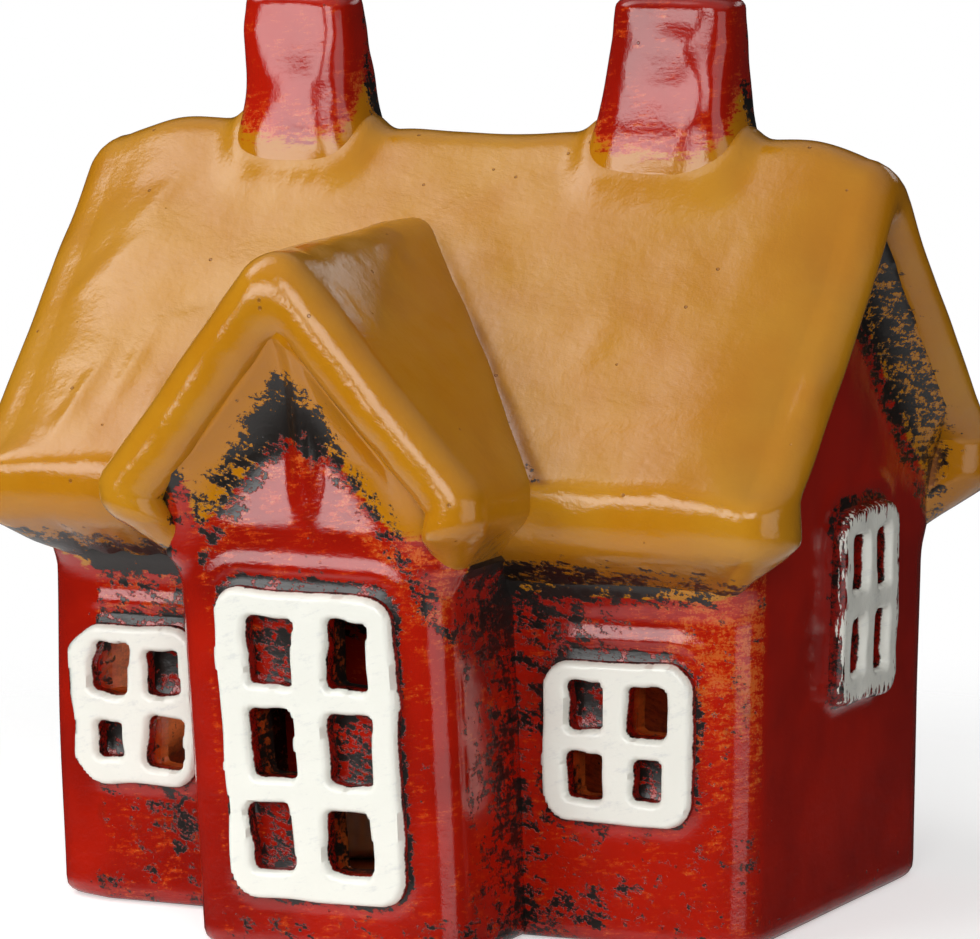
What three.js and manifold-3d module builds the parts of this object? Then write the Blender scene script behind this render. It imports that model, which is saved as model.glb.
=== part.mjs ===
// A hand-built ceramic candle house: mitred slab walls, a main roof and a leaning front porch with
// rolled eaves, two hollow chimneys, raised window pads with pierced and blind panes, and a tealight.
// Millimetres. X runs along the main ridge, the porch faces -Y and +Z is up from the table.
import * as THREE from "three";
import { mergeVertices } from "three/addons/utils/BufferGeometryUtils.js";
import Module from "manifold-3d";

const wasm = await Module();
wasm.setup();

// Joint line between neighbouring slabs, which the potter fills with slip
const slip = 0.3;

// Main house
const houseWidth = 104; // outside of the gable walls
const houseDepth = 64; // outside of the front and rear walls
const houseHeight = 107.5; // table to the sharp ridge
const wallThickness = 5.5;
const cornerRadius = 3.5;
const footRadius = 1.6;
const floorThickness = 5;

// Main roof
const roofRise = 35; // slope above the wall face, up to the ridge
const roofThickness = 7; // square to the slope
const eaveDepth = 24.3; // slope above the wall face, down to the foot of the soffit
const wallHeight = houseHeight - roofRise - eaveDepth;
const eaveReach = 10.5; // lip beyond the wall face
const vergeReach = 7; // roof end beyond the gable wall
const lipRadius = 4.4;
const lipFace = 5; // upright part of the rolled lip
const ridgeRadius = 4.5;
const vergeRadius = 2.4;

// Front porch, a cross gable whose top leans sideways
const porchCentre = -0.6; // at the table, from the middle of the house
const porchWidth = 39;
const porchProjection = 23; // porch front beyond the front wall
const porchStep = 3.8; // foot of the porch soffit above the main one
const porchLean = -0.053; // sideways shift for each millimetre of height
const porchRise = 24;
const porchRidgeShift = -1.3; // ridge from the porch's own middle
const porchRoofThickness = 8.5;
const porchEaveDepth = 22;
const porchEaveReach = 8;
const porchVergeReach = 6;
const ridgeStrip = 4; // main roof left whole between its ridge and the porch notch

// Openings in the walls
const doorwayWidth = 42;
const doorwayInset = 8; // left corner of the house to the candle doorway
const doorwayHeight = 46; // floor to the crown of the candle doorway
const passageHeight = 33.5; // table to the crown of the way into the porch
const passageRise = 2; // its crown above the springing
const blindDepth = 1.4; // recess behind a pane that is not pierced

// Window pads; a pane is pierced where its row and column, counted from the top left, add up to
// an odd number, or to an even one when the first pane is pierced
const padDepth = 2.3;
const padRadius = 4;
const padEdgeRadius = 0.7;
const paneRadius = 0.9;

// Porch window
const porchWindowAlong = -0.4; // from the middle of the porch
const porchWindowUp = 28.8; // table to the middle of the pad
const porchWindowWidth = 26.5;
const porchWindowHeight = 42.6;
const porchPaneWidth = 6.3;
const porchPaneHeight = 9;
const porchMullion = 4.9;
const porchRail = 3.9;

// Front windows, the left one placed from its corner of the house and the right one in its bay
const leftWindowInset = 11.7; // corner to the middle of the pad
const leftWindowDrop = 19.8; // soffit down to the middle of the pad
const leftWindowWidth = 20.4;
const leftWindowHeight = 22.4;
const leftPaneWidth = 5.2;
const leftPaneHeight = 7;
const leftMullion = 3.2;
const leftRail = 2.7;
const rightWindowShift = -2.55; // middle of the bay to the middle of the pad
const rightWindowDrop = 20.8;
const rightWindowWidth = 22.2;
const rightWindowHeight = 22;
const rightPaneWidth = 5.4;
const rightPaneHeight = 6.8;
const rightMullion = 3.9;
const rightRail = 2.5;

// Gable windows, the same at both ends
const gableWindowBack = 4.5; // middle of the house to the middle of the pad, towards the rear
const gableWindowUp = 43;
const gableWindowWidth = 21;
const gableWindowHeight = 27;
const gablePaneWidth = 4.9;
const gablePaneHeight = 7.6;
const gableMullion = 3.5;
const gableRail = 3.7;

// Chimneys: tapered square flues that widen into a saddle on the ridge
const flueWidth = 6.6;
const flueDepth = 5.6;
const flareHeight = 7; // ridge up to where the flare has run out
const chimneyCornerRadius = 2.4;
const chimneyRimRadius = 1.3;
const leftChimneyInset = 31; // roof end to the middle of the foot
const leftChimneyLean = -1.3; // top from the foot, along the ridge
const leftChimneyRise = 17.4; // ridge to the rim
const leftFootWidth = 17.4;
const leftFootDepth = 14.2;
const leftTopWidth = 15.6;
const leftTopDepth = 10.4;
const rightChimneyInset = 32.2;
const rightChimneyLean = 0.8;
const rightChimneyRise = 19;
const rightFootWidth = 20;
const rightFootDepth = 14.6;
const rightTopWidth = 17.2;
const rightTopDepth = 10.6;

// Tealight standing on the floor behind the doorway
const cupDiameter = 38;
const cupHeight = 15.5;
const cupSheet = 0.6;
const cupDraft = 0.5; // radius gained from the base to the rim
const cupBead = 0.5; // rolled rim beyond the cup wall
const cupBaseRadius = 1.5;
const waxHeight = 11.5;
const waxDish = 0.6; // wax sinks this much from the cup wall to the wick
const wickDiameter = 1.8;
const wickAboveWax = 7;
const tabDiameter = 12;
const tabThickness = 0.6;
const tabNeckDiameter = 4.2;
const tabNeckHeight = 3;

// Facets
const cornerSteps = 4;
const bevelSteps = 2;
const archSteps = 8;
const cupSides = 36;
const wickSides = 10;
const filletShare = 0.45; // most of an edge that one rounded corner may take

const redGlaze = { color: 0x9c1a0e, roughness: 0.22, metalness: 0 };
const ochreGlaze = { color: 0xb9791b, roughness: 0.25, metalness: 0 };
const whiteGlaze = { color: 0xf0eee2, roughness: 0.35, metalness: 0 };
const bareClay = { color: 0xa4602c, roughness: 0.8, metalness: 0 };
const aluminium = { color: 0xc9cbcd, roughness: 0.3, metalness: 1 };
const paraffin = { color: 0xf3efe4, roughness: 0.5, metalness: 0 };
const cotton = { color: 0xe6dfcc, roughness: 0.95, metalness: 0 };
const tinPlate = { color: 0xa9abad, roughness: 0.4, metalness: 1 };

const xAxis = new THREE.Vector3(1, 0, 0);
const yAxis = new THREE.Vector3(0, 1, 0);
const zAxis = new THREE.Vector3(0, 0, 1);
const eastward = new THREE.Matrix4().makeBasis(yAxis, zAxis, xAxis);
const northward = new THREE.Matrix4().makeBasis(xAxis.clone().negate(), zAxis, yAxis);
const westward = new THREE.Matrix4().makeBasis(yAxis.clone().negate(), zAxis, xAxis.clone().negate());
const southward = new THREE.Matrix4().makeBasis(xAxis, zAxis, yAxis.clone().negate());
const lean = new THREE.Matrix4().makeShear(0, 0, 0, 0, porchLean, 0);

// Closed geometry to solid and back, for cutting and joining
function toSolid(geometry) {
  const bare = geometry.clone();
  bare.deleteAttribute("normal");
  bare.deleteAttribute("uv");
  const merged = mergeVertices(bare);
  const vertProperties = merged.attributes.position.array;
  const triVerts = new Uint32Array(merged.index.array);
  return new wasm.Manifold(new wasm.Mesh({ numProp: 3, vertProperties, triVerts }));
}

function toGeometry(solid) {
  const mesh = solid.getMesh();
  const geometry = new THREE.BufferGeometry();
  geometry.setAttribute("position", new THREE.BufferAttribute(mesh.vertProperties, 3));
  geometry.setIndex(new THREE.BufferAttribute(mesh.triVerts, 1));
  const faceted = geometry.toNonIndexed();
  faceted.computeVertexNormals();
  return faceted;
}

// Outline through corners [u, v, radius], each rounded as far as its two edges allow
function roundedOutline(corners) {
  const shape = new THREE.Shape();
  corners.forEach(([u, v, radius = 0], i) => {
    const corner = new THREE.Vector2(u, v);
    const back = new THREE.Vector2(...corners.at(i - 1)).sub(corner);
    const ahead = new THREE.Vector2(...corners[(i + 1) % corners.length]).sub(corner);
    const room = filletShare * Math.min(back.length(), ahead.length());
    const cut = Math.min(radius / Math.tan(back.angleTo(ahead) / 2), room);
    const start = back.setLength(cut).add(corner);
    const end = ahead.setLength(cut).add(corner);
    if (i === 0) shape.moveTo(start.x, start.y);
    else shape.lineTo(start.x, start.y);
    if (radius > 0) shape.quadraticCurveTo(u, v, end.x, end.y);
  });
  shape.closePath();
  return shape;
}

function rectangle(width, height, radius = 0, u = 0, v = 0) {
  const right = u + width / 2;
  const left = u - width / 2;
  const top = v + height / 2;
  const bottom = v - height / 2;
  return roundedOutline([
    [right, bottom, radius],
    [right, top, radius],
    [left, top, radius],
    [left, bottom, radius],
  ]);
}

function arch(u, width, bottom, height, rise = width / 2) {
  const radius = width / 2;
  const spring = bottom + height - rise;
  const shape = new THREE.Shape();
  shape.moveTo(u - radius, bottom);
  shape.lineTo(u + radius, bottom);
  shape.lineTo(u + radius, spring);
  shape.absellipse(u, spring, radius, rise, 0, Math.PI);
  shape.closePath();
  return shape;
}

// Outline carried from `from` to `to` along its own normal, with both end edges rounded
function prism(shape, from, to, edgeRadius = 0, curveSegments = cornerSteps) {
  const geometry = new THREE.ExtrudeGeometry(shape, {
    depth: to - from - 2 * edgeRadius,
    bevelEnabled: edgeRadius > 0,
    bevelThickness: edgeRadius,
    bevelSize: edgeRadius,
    bevelOffset: -edgeRadius,
    bevelSegments: bevelSteps,
    curveSegments,
  });
  return geometry.translate(0, 0, from + edgeRadius);
}

// Two roof slopes in section, from the wall faces up to the ridge; `offset` moves both slopes
// out along their normals
function gableSection({ left, right, ridge, foot, plate, rise }) {
  const leftSlope = rise / (ridge - left);
  const rightSlope = rise / (right - ridge);
  const leftStretch = Math.hypot(1, leftSlope);
  const rightStretch = Math.hypot(1, rightSlope);
  const top = plate + rise;
  const height = (u, offset = 0) =>
    Math.min(
      top + (u - ridge) * leftSlope + offset * leftStretch,
      top - (u - ridge) * rightSlope + offset * rightStretch,
    );
  const apex = (offset = 0) => {
    const shift = (offset * (rightStretch - leftStretch)) / (leftSlope + rightSlope);
    return [ridge + shift, height(ridge + shift, offset)];
  };
  return { left, right, foot, top, height, apex };
}

const mainGable = gableSection({
  left: -houseDepth / 2,
  right: houseDepth / 2,
  ridge: 0,
  foot: wallHeight,
  plate: wallHeight + eaveDepth,
  rise: roofRise,
});
const porchGable = gableSection({
  left: porchCentre - porchWidth / 2,
  right: porchCentre + porchWidth / 2,
  ridge: porchCentre + porchRidgeShift,
  foot: wallHeight + porchStep,
  plate: wallHeight + porchStep + porchEaveDepth,
  rise: porchRise,
});

const houseFront = -houseDepth / 2;
const porchFront = houseFront - porchProjection;
const roofEnd = houseWidth / 2 + vergeReach;
const porchVerge = porchFront - porchVergeReach;
const doorwayMiddle = doorwayInset + doorwayWidth / 2 - houseWidth / 2;
const wellBelow = floorThickness; // cutters start this far under the table
const wellAbove = mainGable.top + porchGable.top; // and pass every roof
const wellOut = houseWidth + houseDepth; // and every side

// Where each window pad sits on its wall's face, and the panes in it
const rightBay = (porchGable.right + houseWidth / 2) / 2;
const gableWindow = {
  up: gableWindowUp, width: gableWindowWidth, height: gableWindowHeight, columns: 2, rows: 2,
  paneWidth: gablePaneWidth, paneHeight: gablePaneHeight, mullion: gableMullion, rail: gableRail,
  firstPierced: false,
};
const windows = [
  {
    name: "porch_window_pad", wall: "porch_front_wall", along: porchWindowAlong, up: porchWindowUp,
    width: porchWindowWidth, height: porchWindowHeight, columns: 2, rows: 3,
    paneWidth: porchPaneWidth, paneHeight: porchPaneHeight, mullion: porchMullion, rail: porchRail,
    firstPierced: false,
  },
  {
    name: "front_left_window_pad", wall: "front_wall",
    along: leftWindowInset - houseWidth / 2, up: wallHeight - leftWindowDrop,
    width: leftWindowWidth, height: leftWindowHeight, columns: 2, rows: 2,
    paneWidth: leftPaneWidth, paneHeight: leftPaneHeight, mullion: leftMullion, rail: leftRail,
    firstPierced: true,
  },
  {
    name: "front_right_window_pad", wall: "front_wall",
    along: rightBay + rightWindowShift, up: wallHeight - rightWindowDrop,
    width: rightWindowWidth, height: rightWindowHeight, columns: 2, rows: 2,
    paneWidth: rightPaneWidth, paneHeight: rightPaneHeight, mullion: rightMullion, rail: rightRail,
    firstPierced: false,
  },
  {
    ...gableWindow, name: "right_gable_window_pad", wall: "right_gable_wall",
    along: gableWindowBack,
  },
  {
    ...gableWindow, name: "left_gable_window_pad", wall: "left_gable_wall",
    along: -gableWindowBack,
  },
];

// Each chimney's foot on the ridge and its smaller top
const leftFoot = leftChimneyInset - roofEnd;
const rightFoot = roofEnd - rightChimneyInset;
const chimneys = [
  {
    name: "left_chimney", baseAlong: leftFoot, topAlong: leftFoot + leftChimneyLean,
    rise: leftChimneyRise, baseWidth: leftFootWidth, baseDepth: leftFootDepth,
    topWidth: leftTopWidth, topDepth: leftTopDepth,
  },
  {
    name: "right_chimney", baseAlong: rightFoot, topAlong: rightFoot + rightChimneyLean,
    rise: rightChimneyRise, baseWidth: rightFootWidth, baseDepth: rightFootDepth,
    topWidth: rightTopWidth, topDepth: rightTopDepth,
  },
];

// Roof section: slopes, rolled lips, soffits, and inner faces that sit down over the walls
function roofOutline(gable, reach, thickness) {
  const leftLip = gable.left - reach;
  const rightLip = gable.right + reach;
  const leftSeat = gable.left - slip;
  const rightSeat = gable.right + slip;
  return roundedOutline([
    [rightSeat, gable.foot],
    [rightLip, gable.height(rightLip) - lipFace, lipRadius],
    [rightLip, gable.height(rightLip), lipRadius],
    [...gable.apex(), ridgeRadius],
    [leftLip, gable.height(leftLip), lipRadius],
    [leftLip, gable.height(leftLip) - lipFace, lipRadius],
    [leftSeat, gable.foot],
    [leftSeat, gable.height(leftSeat, -thickness)],
    gable.apex(-thickness),
    [rightSeat, gable.height(rightSeat, -thickness)],
  ]);
}

// Everything below the two slopes, moved by `offset`, and between the walls, moved out by `beside`
function roomOutline(gable, beside, offset, crownRadius = 0) {
  const left = gable.left - beside;
  const right = gable.right + beside;
  return roundedOutline([
    [left, -wellBelow],
    [right, -wellBelow],
    [right, gable.height(right, offset)],
    [...gable.apex(offset), crownRadius],
    [left, gable.height(left, offset)],
  ]);
}

// The whole gabled front, walls and rolled eaves together, grown by the joint line
function silhouetteOutline(gable, reach) {
  const leftLip = gable.left - reach - slip;
  const rightLip = gable.right + reach + slip;
  const foot = gable.foot - 2 * slip;
  const face = lipFace + 4 * slip;
  return roundedOutline([
    [gable.left - slip, -wellBelow],
    [gable.right + slip, -wellBelow],
    [gable.right + slip, foot],
    [rightLip, gable.height(rightLip, slip) - face, lipRadius],
    [rightLip, gable.height(rightLip, slip), lipRadius],
    [...gable.apex(slip), ridgeRadius],
    [leftLip, gable.height(leftLip, slip), lipRadius],
    [leftLip, gable.height(leftLip, slip) - face, lipRadius],
    [gable.left - slip, foot],
  ]);
}

// Closed ring of four walls with rounded corners and foot
function wallRing(width, depth, height) {
  const outline = rectangle(width, depth, cornerRadius);
  outline.holes.push(rectangle(width - 2 * wallThickness, depth - 2 * wallThickness));
  return toSolid(prism(outline, 0, height, footRadius));
}

// Plan wedge that keeps one side of a ring, mitred at both ends; side 0 faces -Y, then a quarter
// turn to the left of it for each step
function mitreWedge(width, depth, side) {
  const length = side % 2 ? depth : width;
  const away = (side % 2 ? width : depth) / 2;
  const halfGap = slip / Math.SQRT2;
  const inward = 2 * wallThickness;
  const outerEnd = length / 2 + wallThickness - halfGap;
  const innerEnd = length / 2 - inward - halfGap;
  const wedge = roundedOutline([
    [-outerEnd, -away - wallThickness],
    [outerEnd, -away - wallThickness],
    [innerEnd, -away + inward],
    [-innerEnd, -away + inward],
  ]);
  return toSolid(prism(wedge, -wellBelow, wellAbove).rotateZ((side * Math.PI) / 2));
}

// Walls of the main house, trimmed under the roof
const mainWalls = {};
const mainRoom = toSolid(
  prism(
    roomOutline(mainGable, wallThickness, -roofThickness - slip), -wellOut, wellOut,
  ).applyMatrix4(eastward),
);
const mainRing = wallRing(houseWidth, houseDepth, mainGable.top).intersect(mainRoom);
["front_wall", "right_gable_wall", "rear_wall", "left_gable_wall"].forEach((name, side) => {
  mainWalls[name] = mainRing.intersect(mitreWedge(houseWidth, houseDepth, side));
});

// Porch walls stand against the front wall; the ring's rear side lies inside the house and is left
const porchRingDepth = porchProjection + 3 * wallThickness;
const porchRingMiddle = porchFront + porchRingDepth / 2;
const porchRoom = toSolid(
  prism(
    roomOutline(porchGable, wallThickness, -porchRoofThickness - slip), -wellOut, wellOut,
  ).applyMatrix4(southward),
);
const houseBlock = toSolid(
  prism(rectangle(wellOut, houseDepth + 2 * slip), -wellBelow, wellAbove),
);
const porchRing = wallRing(porchWidth, porchRingDepth, porchGable.top)
  .translate([porchCentre, porchRingMiddle, 0])
  .intersect(porchRoom);
const porchWalls = {};
["porch_front_wall", "porch_right_wall", null, "porch_left_wall"].forEach((name, side) => {
  if (!name) return;
  const wedge = mitreWedge(porchWidth, porchRingDepth, side);
  const placed = wedge.translate([porchCentre, porchRingMiddle, 0]);
  porchWalls[name] = porchRing.intersect(placed).subtract(houseBlock);
});

// Each wall's outside face: along to the right, up, and out
const faces = {
  front_wall: southward.clone().setPosition(0, houseFront, 0),
  right_gable_wall: eastward.clone().setPosition(houseWidth / 2, 0, 0),
  rear_wall: northward.clone().setPosition(0, houseDepth / 2, 0),
  left_gable_wall: westward.clone().setPosition(-houseWidth / 2, 0, 0),
  porch_front_wall: southward.clone().setPosition(porchCentre, porchFront, 0),
};

function cutInto(walls, name, outline, depth, steps) {
  const cutter = prism(outline, -depth, wallThickness, 0, steps).applyMatrix4(faces[name]);
  walls[name] = walls[name].subtract(toSolid(cutter));
}
const rightThrough = 2 * wallThickness;

// Candle doorway at the rear, with its sill just under the floor, and the way into the porch
const doorway = arch(-doorwayMiddle, doorwayWidth, floorThickness - slip, doorwayHeight + slip);
const passageWidth = porchWidth - 2 * wallThickness;
const passage = arch(
  porchCentre, passageWidth, -wellBelow, passageHeight + wellBelow, passageRise,
);
cutInto(mainWalls, "rear_wall", doorway, rightThrough, archSteps);
cutInto(mainWalls, "front_wall", passage, rightThrough, archSteps);

// Window pads, and the panes cut into the walls behind them
function paneOutlines(window) {
  const stepAcross = window.paneWidth + window.mullion;
  const stepDown = window.paneHeight + window.rail;
  const outlines = [];
  for (let row = 0; row < window.rows; row++) {
    for (let column = 0; column < window.columns; column++) {
      const u = window.along + (column - (window.columns - 1) / 2) * stepAcross;
      const v = window.up + ((window.rows - 1) / 2 - row) * stepDown;
      const pierced = (row + column) % 2 === (window.firstPierced ? 0 : 1);
      outlines.push({
        pierced,
        outline: rectangle(window.paneWidth, window.paneHeight, paneRadius, u, v),
      });
    }
  }
  return outlines;
}

const windowPads = windows.map((window) => {
  const pad = rectangle(window.width, window.height, padRadius, window.along, window.up);
  const walls = window.wall in mainWalls ? mainWalls : porchWalls;
  for (const { pierced, outline } of paneOutlines(window)) {
    pad.holes.push(outline);
    cutInto(walls, window.wall, outline, pierced ? rightThrough : blindDepth, bevelSteps);
  }
  const geometry = prism(pad, slip, slip + padDepth, padEdgeRadius, bevelSteps);
  return { window, solid: toSolid(geometry.applyMatrix4(faces[window.wall])) };
});

// The porch leans: everything on it is sheared sideways with height
const leanPorch = (solid) => solid.transform(lean.elements);

// Main roof, split along its ridge, notched for the porch and pierced under each chimney
const mainRoof = toSolid(
  prism(
    roofOutline(mainGable, eaveReach, roofThickness), -roofEnd, roofEnd, vergeRadius,
  ).applyMatrix4(eastward),
);
const porchNotch = leanPorch(
  toSolid(
    prism(silhouetteOutline(porchGable, porchEaveReach), ridgeStrip, wellOut)
      .applyMatrix4(southward),
  ),
);
const flues = chimneys.map(({ baseAlong }) =>
  toSolid(
    prism(rectangle(flueWidth, flueDepth), 0, wellAbove).translate(baseAlong, 0, 0),
  ),
);
const frontHalf = toSolid(
  prism(rectangle(2 * wellOut, wellOut, 0, 0, -(wellOut + slip) / 2), -wellBelow, wellAbove),
);
const rearHalf = toSolid(
  prism(rectangle(2 * wellOut, wellOut, 0, 0, (wellOut + slip) / 2), -wellBelow, wellAbove),
);
const pierceFlues = (roof) => flues.reduce((rest, flue) => rest.subtract(flue), roof);
const mainRoofFront = pierceFlues(mainRoof.intersect(frontHalf)).subtract(porchNotch);
const mainRoofRear = pierceFlues(mainRoof.intersect(rearHalf));

// Porch roof, split along its own ridge and ended flush with the main roof's underside
const porchRoof = toSolid(
  prism(
    roofOutline(porchGable, porchEaveReach, porchRoofThickness),
    -porchProjection,
    -porchVerge,
    vergeRadius,
  ).applyMatrix4(southward),
);
const mainInside = toSolid(
  prism(roomOutline(mainGable, slip, -roofThickness), -wellOut, wellOut).applyMatrix4(eastward),
);
const ridgeBlock = toSolid(
  prism(
    rectangle(2 * wellOut, wellOut, 0, 0, wellOut / 2 - ridgeStrip - slip), -wellBelow, wellAbove,
  ),
);
const porchSplit = porchGable.apex()[0];
function porchSlope(direction) {
  const middle = porchSplit + (direction * (wellOut + slip)) / 2;
  const half = toSolid(prism(rectangle(wellOut, 2 * wellOut, 0, middle), -wellBelow, wellAbove));
  return leanPorch(porchRoof.intersect(half)).subtract(mainInside).subtract(ridgeBlock);
}

// Chimney: rounded-square sections lofted up the outside, over the rim and down the flue, then cut
// to sit astride the rounded ridge
const underMainRoof = toSolid(
  prism(
    roomOutline(mainGable, eaveReach, slip, ridgeRadius), -wellOut, wellOut,
  ).applyMatrix4(eastward),
);
function chimneySolid(chimney) {
  const { baseAlong, topAlong, rise, baseWidth, baseDepth, topWidth, topDepth } = chimney;
  const ridge = mainGable.top;
  const bottom = mainGable.height(baseDepth) - roofThickness;
  const top = ridge + rise;
  const flare = ridge + flareHeight;
  const share = flareHeight / rise;
  const neckAlong = baseAlong + (topAlong - baseAlong) * share;
  const neckWidth = topWidth + (baseWidth - topWidth) * share;
  const neckDepth = topDepth + (baseDepth - topDepth) * share;
  const rim = chimneyRimRadius;
  const corner = chimneyCornerRadius;
  const flueCorner = chimneyRimRadius;
  const sections = [
    [baseAlong, bottom, baseWidth, baseDepth, corner],
    [baseAlong, ridge, baseWidth, baseDepth, corner],
    [neckAlong, flare, neckWidth, neckDepth, corner],
    [topAlong, top - rim, topWidth, topDepth, corner],
    [topAlong, top, topWidth - rim, topDepth - rim, corner],
    [topAlong, top, flueWidth + rim, flueDepth + rim, flueCorner],
    [topAlong, top - rim, flueWidth, flueDepth, flueCorner],
    [baseAlong, bottom, flueWidth, flueDepth, flueCorner],
  ];
  const rings = sections.map(([along, z, width, depth, radius]) =>
    rectangle(width, depth, radius, along)
      .getPoints(bevelSteps)
      .slice(1)
      .map((point) => [point.x, point.y, z]),
  );
  const count = rings[0].length;
  const index = [];
  rings.forEach((ring, i) => {
    const next = ((i + 1) % rings.length) * count;
    ring.forEach((point, j) => {
      const k = (j + 1) % count;
      index.push(i * count + j, i * count + k, next + k, i * count + j, next + k, next + j);
    });
  });
  const geometry = new THREE.BufferGeometry();
  geometry.setAttribute("position", new THREE.Float32BufferAttribute(rings.flat(2), 3));
  geometry.setIndex(index);
  return toSolid(geometry).subtract(underMainRoof);
}

// Floor, with a tongue that runs through the front wall into the porch
function floorSolid() {
  const side = houseWidth / 2 - wallThickness - slip;
  const back = houseDepth / 2 - wallThickness - slip;
  const leanRoom = Math.abs(porchLean) * floorThickness;
  const tongue = porchWidth / 2 - wallThickness - slip - leanRoom;
  const tongueEnd = porchFront + wallThickness + slip;
  const outline = roundedOutline([
    [-side, back],
    [-side, -back],
    [porchCentre - tongue, -back],
    [porchCentre - tongue, tongueEnd],
    [porchCentre + tongue, tongueEnd],
    [porchCentre + tongue, -back],
    [side, -back],
    [side, back],
  ]);
  return toSolid(prism(outline, 0, floorThickness));
}

// Body turned about the upright axis from corners [radius, height, rounding]
function turned(corners) {
  const profile = roundedOutline(corners).getPoints(bevelSteps);
  profile.push(profile[0].clone());
  return new THREE.LatheGeometry(profile, cupSides).rotateX(Math.PI / 2);
}

function cupGeometry() {
  const rimRadius = cupDiameter / 2 - cupBead;
  const baseRadius = rimRadius - cupDraft;
  const crown = cupHeight - cupBead;
  return turned([
    [0, 0],
    [baseRadius, 0, cupBaseRadius],
    [rimRadius, crown - cupBead],
    [rimRadius + cupBead, crown, cupBead],
    [rimRadius, cupHeight, cupBead],
    [rimRadius - cupSheet, cupHeight],
    [baseRadius - cupSheet, cupSheet, cupBaseRadius - cupSheet],
    [0, cupSheet],
  ]);
}

const waxFloor = cupSheet + slip;
const waxTop = waxFloor + waxHeight;
const tabTop = waxFloor + tabThickness;
const neckTop = tabTop + tabNeckHeight;
const wickBore = wickDiameter / 2 + slip;

function waxGeometry() {
  const baseRadius = cupDiameter / 2 - cupBead - cupDraft - cupSheet - slip;
  const topRadius = baseRadius + cupDraft * (waxHeight / cupHeight);
  return turned([
    [tabDiameter / 2 + slip, waxFloor],
    [baseRadius, waxFloor, cupBaseRadius],
    [topRadius, waxTop],
    [wickBore, waxTop - waxDish],
    [wickBore, neckTop + slip],
    [tabNeckDiameter / 2 + slip, neckTop + slip],
    [tabNeckDiameter / 2 + slip, tabTop + slip],
    [tabDiameter / 2 + slip, tabTop + slip],
  ]);
}

function tabGeometry() {
  return turned([
    [wickBore, waxFloor],
    [tabDiameter / 2, waxFloor],
    [tabDiameter / 2, tabTop],
    [tabNeckDiameter / 2, tabTop],
    [tabNeckDiameter / 2, neckTop],
    [wickBore, neckTop],
  ]);
}

function wickGeometry() {
  const length = waxTop + wickAboveWax - waxFloor;
  const tip = wickDiameter / 2 - slip;
  const wick = new THREE.CylinderGeometry(tip, wickDiameter / 2, length, wickSides);
  return wick.rotateX(Math.PI / 2).translate(0, 0, waxFloor + length / 2);
}

// Scene
const candleHouse = new THREE.Group();
const house = new THREE.Group();
const tealight = new THREE.Group();
candleHouse.add(house, tealight);

function addPiece(group, name, geometry, look) {
  const piece = new THREE.Mesh(geometry, new THREE.MeshStandardMaterial(look));
  piece.name = name;
  group.add(piece);
}

addPiece(house, "floor_slab", toGeometry(floorSolid()), bareClay);
for (const [name, wall] of Object.entries(mainWalls)) {
  addPiece(house, name, toGeometry(wall), redGlaze);
}
for (const [name, wall] of Object.entries(porchWalls)) {
  addPiece(house, name, toGeometry(leanPorch(wall)), redGlaze);
}
for (const { window, solid } of windowPads) {
  const placed = window.wall in porchWalls ? leanPorch(solid) : solid;
  addPiece(house, window.name, toGeometry(placed), whiteGlaze);
}
addPiece(house, "main_roof_front", toGeometry(mainRoofFront), ochreGlaze);
addPiece(house, "main_roof_rear", toGeometry(mainRoofRear), ochreGlaze);
addPiece(house, "porch_roof_left", toGeometry(porchSlope(-1)), ochreGlaze);
addPiece(house, "porch_roof_right", toGeometry(porchSlope(1)), ochreGlaze);
for (const chimney of chimneys) {
  addPiece(house, chimney.name, toGeometry(chimneySolid(chimney)), redGlaze);
}

addPiece(tealight, "tealight_cup", cupGeometry(), aluminium);
addPiece(tealight, "tealight_wax", waxGeometry(), paraffin);
addPiece(tealight, "tealight_wick_tab", tabGeometry(), tinPlate);
addPiece(tealight, "tealight_wick", wickGeometry(), cotton);
tealight.position.set(doorwayMiddle, 0, floorThickness + slip);

// Origin on the table, under the middle of the whole house
const middle = new THREE.Box3().setFromObject(candleHouse).getCenter(new THREE.Vector3());
candleHouse.position.set(-middle.x, -middle.y, 0);

export default candleHouse;
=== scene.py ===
import math

import bpy
import numpy as np
from mathutils import Matrix, Vector


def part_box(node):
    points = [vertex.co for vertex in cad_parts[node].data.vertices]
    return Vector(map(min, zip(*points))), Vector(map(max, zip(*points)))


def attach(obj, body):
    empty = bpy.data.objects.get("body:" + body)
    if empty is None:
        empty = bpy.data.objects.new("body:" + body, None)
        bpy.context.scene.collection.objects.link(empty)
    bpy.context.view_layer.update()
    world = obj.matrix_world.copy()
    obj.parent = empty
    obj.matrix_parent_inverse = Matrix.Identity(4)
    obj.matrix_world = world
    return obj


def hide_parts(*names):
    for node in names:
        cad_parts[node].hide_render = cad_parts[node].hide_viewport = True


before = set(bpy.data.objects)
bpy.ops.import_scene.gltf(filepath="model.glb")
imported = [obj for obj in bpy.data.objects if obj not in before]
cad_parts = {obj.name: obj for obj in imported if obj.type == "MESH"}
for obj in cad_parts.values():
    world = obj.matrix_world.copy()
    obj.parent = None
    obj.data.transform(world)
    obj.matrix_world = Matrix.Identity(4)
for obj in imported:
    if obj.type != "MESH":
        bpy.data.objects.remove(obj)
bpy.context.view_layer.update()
print("frame loaded,", len(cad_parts), "nodes")

# all shapes are worked out in millimetres about the middle of the main walls, then moved here
houseMiddle = np.array([0, (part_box("front_wall")[0].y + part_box("rear_wall")[1].y) / 2, 0])

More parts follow.
